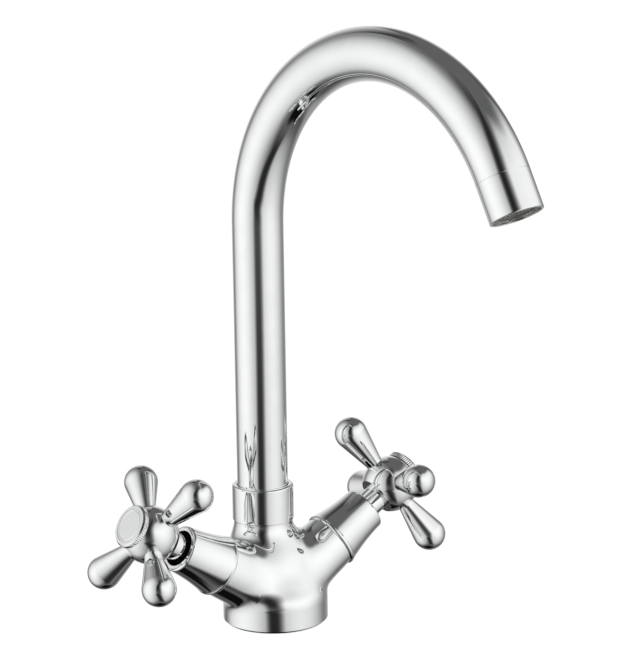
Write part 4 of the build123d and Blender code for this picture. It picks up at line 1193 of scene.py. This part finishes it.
# ---- Cross handles: a polished ball hub cut flat front and back, four tapered arms with ball ends that
# screw into it, and a screwed cap with a knurled edge and a plain satin disc let in.
HUB_CENTRE = 42.7
HUB_RADIUS = 13.5
HUB_HALF = 9.5
HUB_NECK_RADIUS = 6.5
HUB_NECK_BOTTOM = 18.2
HUB_SOCKET_TOP = 39.0
SPLINE_TIP = 4.05
SPLINE_ROOT = 3.6
SPLINE_TEETH = 20
SCREW_HOLE = 2.1
CAP_HOLE = 6.2
RECESS_FLOOR = 41.9
HUB_EDGE = 0.25
HUB_GORES = 120
BALL_STEPS = 60
HANDLE_ARMS = 4
ARM_ROOT = 4.2
ARM_STUD = 2.4
ARM_STUD_BOTTOM = 9.0
STUD_HOLE = 2.5
STUD_HOLE_BOTTOM = 8.9
BULB_CENTRE = 31.8
BULB_RADIUS = 7.95
BULB_STEPS = 48
TAPER_STEPS = 6
ROOT_STEPS = 8
LEVER_GORES = 96
CAP_BACK = 52.4
CAP_FRONT = 55.4
CAP_RADIUS = 10.2
CAP_BEVEL = 0.8
CAP_CHAMFER = 0.25
CAP_CREST = 0.05
CAP_ROUND = 0.25
CAP_SEAT_ROUND = 0.12
CAP_SEAT_RADIUS = 8.05
CAP_SEAT = 54.7
CAP_SPIGOT = 6.1
CAP_SPIGOT_BOTTOM = 47.7
CAP_STEP = 7.1
KNURLS = 60
KNURL_DEPTH = 0.35
GORES_A_KNURL = 8
DISC_RADIUS = 7.95
DISC_TOP = 55.3
DISC_THICKNESS = 0.6
DISC_ROUND = 0.1
DISC_GORES = 128
DISC_RING = 6.9
DISC_RING_WIDTH = 0.35
DISC_RING_DEPTH = 0.12
SATIN_DIM = (0.92, 0.93, 0.93)
SATIN_BRIGHT = (0.95, 0.96, 0.96)
HANDLE_TURNS = {"left": math.radians(49.5), "right": math.radians(-19.4)}


def splined(radius, turn):
    """The socket's wall goes to and fro between the tips and the roots of its teeth."""
    if radius != SPLINE_TIP:
        return radius
    return SPLINE_TIP if math.cos(SPLINE_TEETH * turn) > 0 else SPLINE_ROOT


hub_front = HUB_CENTRE + HUB_HALF
hub_back = HUB_CENTRE - HUB_HALF
flat_radius = math.sqrt(HUB_RADIUS**2 - HUB_HALF**2)
neck = [
    (SPLINE_TIP, HUB_NECK_BOTTOM),
    (HUB_NECK_RADIUS, HUB_NECK_BOTTOM, HUB_EDGE),
    (HUB_NECK_RADIUS, hub_back, HUB_EDGE),
]
ball = arc_through((flat_radius, hub_back), (HUB_RADIUS, HUB_CENTRE), (flat_radius, hub_front), BALL_STEPS)
bored_middle = [
    (CAP_HOLE, hub_front),
    (CAP_HOLE, RECESS_FLOOR),
    (SCREW_HOLE, RECESS_FLOOR),
    (SCREW_HOLE, HUB_SOCKET_TOP),
    (SPLINE_TIP, HUB_SOCKET_TOP),
]
hub_outline = rounded(neck + ball + bored_middle)

# A handle arm, from the stud in the hub to its tip: the straight taper meets the ball end where it touches
# it, at an angle round the ball's centre.
lean = math.acos(BULB_RADIUS / math.hypot(BULB_CENTRE - HUB_RADIUS, ARM_ROOT))
touch = math.atan2(ARM_ROOT, HUB_RADIUS - BULB_CENTRE) - lean
root = []
for radius in np.linspace(ARM_STUD, ARM_ROOT, ROOT_STEPS):
    root.append((radius, math.sqrt(HUB_RADIUS**2 - radius**2)))
bulb = []
for turn in np.linspace(touch, 0, BULB_STEPS):
    bulb.append((BULB_RADIUS * math.sin(turn), BULB_CENTRE + BULB_RADIUS * math.cos(turn)))
bulb[-1] = (0, BULB_CENTRE + BULB_RADIUS)
taper_radii = np.linspace(ARM_ROOT, bulb[0][0], TAPER_STEPS)[:-1]
taper_heights = np.linspace(HUB_RADIUS, bulb[0][1], TAPER_STEPS)[:-1]
taper = list(zip(taper_radii, taper_heights))
arm_outline = [(0, ARM_STUD_BOTTOM), (ARM_STUD, ARM_STUD_BOTTOM)] + root + taper + bulb


def knurled(radius, turn):
    """Fine grooves along the cap's edge, where it has its full radius."""
    if radius < CAP_RADIUS:
        return radius
    return radius - KNURL_DEPTH * (1 - math.cos(KNURLS * turn)) / 2


cap_outline = rounded([
    (0, CAP_SPIGOT_BOTTOM),
    (CAP_SPIGOT, CAP_SPIGOT_BOTTOM),
    (CAP_SPIGOT, hub_front),
    (CAP_STEP, hub_front),
    (CAP_STEP, CAP_BACK),
    (CAP_RADIUS - CAP_CHAMFER, CAP_BACK),
    (CAP_RADIUS, CAP_BACK + CAP_CHAMFER),
    (CAP_RADIUS, CAP_FRONT - CAP_BEVEL - CAP_CREST),
    (CAP_RADIUS - CAP_CREST, CAP_FRONT - CAP_BEVEL),
    (CAP_RADIUS - CAP_BEVEL, CAP_FRONT, CAP_ROUND),
    (CAP_SEAT_RADIUS, CAP_FRONT, CAP_SEAT_ROUND),
    (CAP_SEAT_RADIUS, CAP_SEAT),
    (0, CAP_SEAT),
])
disc_outline = rounded([
    (0, DISC_TOP - DISC_THICKNESS),
    (DISC_RADIUS, DISC_TOP - DISC_THICKNESS),
    (DISC_RADIUS, DISC_TOP, DISC_ROUND),
    (DISC_RING + DISC_RING_WIDTH, DISC_TOP),
    (DISC_RING + DISC_RING_WIDTH / 2, DISC_TOP - DISC_RING_DEPTH),
    (DISC_RING, DISC_TOP),
    (0, DISC_TOP),
])

satin_disc, tree = new_material("satin_disc")
shader = surface(tree, metal=1.0)
brushing = noise_of(tree, size=3.0, detail=4, roughness=0.6)
tinted(tree, shader, brushing, SATIN_DIM, SATIN_BRIGHT)
dulled(tree, shader, brushing, smoothest=0.17, dullest=0.23)
tree.links.new(bumped(tree, noise_of(tree, size=0.5, detail=2), depth=0.0004), shader.inputs["Normal"])

for hand, side in HANDS:
    place = arm_place(side) @ Matrix.Rotation(HANDLE_TURNS[hand], 4, "Z")
    middle = place @ Matrix.Translation((0, 0, HUB_CENTRE * MM))
    rider = f"{hand}_handle"
    knob = link_mesh(f"{hand}_knob", turned_mesh(f"{hand}_knob", hub_outline, place, HUB_GORES, splined))
    for number in range(HANDLE_ARMS):
        about_hub = Matrix.Rotation(2 * math.pi * number / HANDLE_ARMS, 4, "Z")
        outwards = middle @ about_hub @ Matrix.Rotation(math.pi / 2, 4, "Y")
        carve(knob, cutter(cylinder(STUD_HOLE, STUD_HOLE_BOTTOM, HUB_RADIUS + OVERSHOOT), outwards))
        name = f"{hand}_lever_{number + 1}"
        lever = link_mesh(name, turned_mesh(name, arm_outline, outwards, LEVER_GORES))
        lever.data.materials.append(turned_chrome)
        smooth(lever)
        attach(lever, rider)
        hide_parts(f"{hand}_handle_arm_{number + 1}")
    knob.data.materials.clear()
    knob.data.materials.append(turned_chrome)
    smooth(knob)
    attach(knob, rider)
    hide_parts(f"{hand}_hub")
    cap_gores = GORES_A_KNURL * KNURLS
    cap = link_mesh(f"{hand}_cap", turned_mesh(f"{hand}_cap", cap_outline, place, cap_gores, knurled))
    cap.data.materials.append(turned_chrome)
    smooth(cap)
    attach(cap, rider)
    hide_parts(f"{hand}_index_cap")
    disc = link_mesh(f"{hand}_disc", turned_mesh(f"{hand}_disc", disc_outline, place, DISC_GORES))
    disc.data.materials.append(satin_disc)
    smooth(disc, sharp=math.radians(20))
    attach(disc, rider)
    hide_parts(f"{hand}_index_disc")
    screw_steel = turned_metal(f"{hand}_screw_steel", STEEL_LIGHT, STEEL_DARK, place, smoothest=0.24)
    finish_node(f"{hand}_handle_screw", screw_steel)
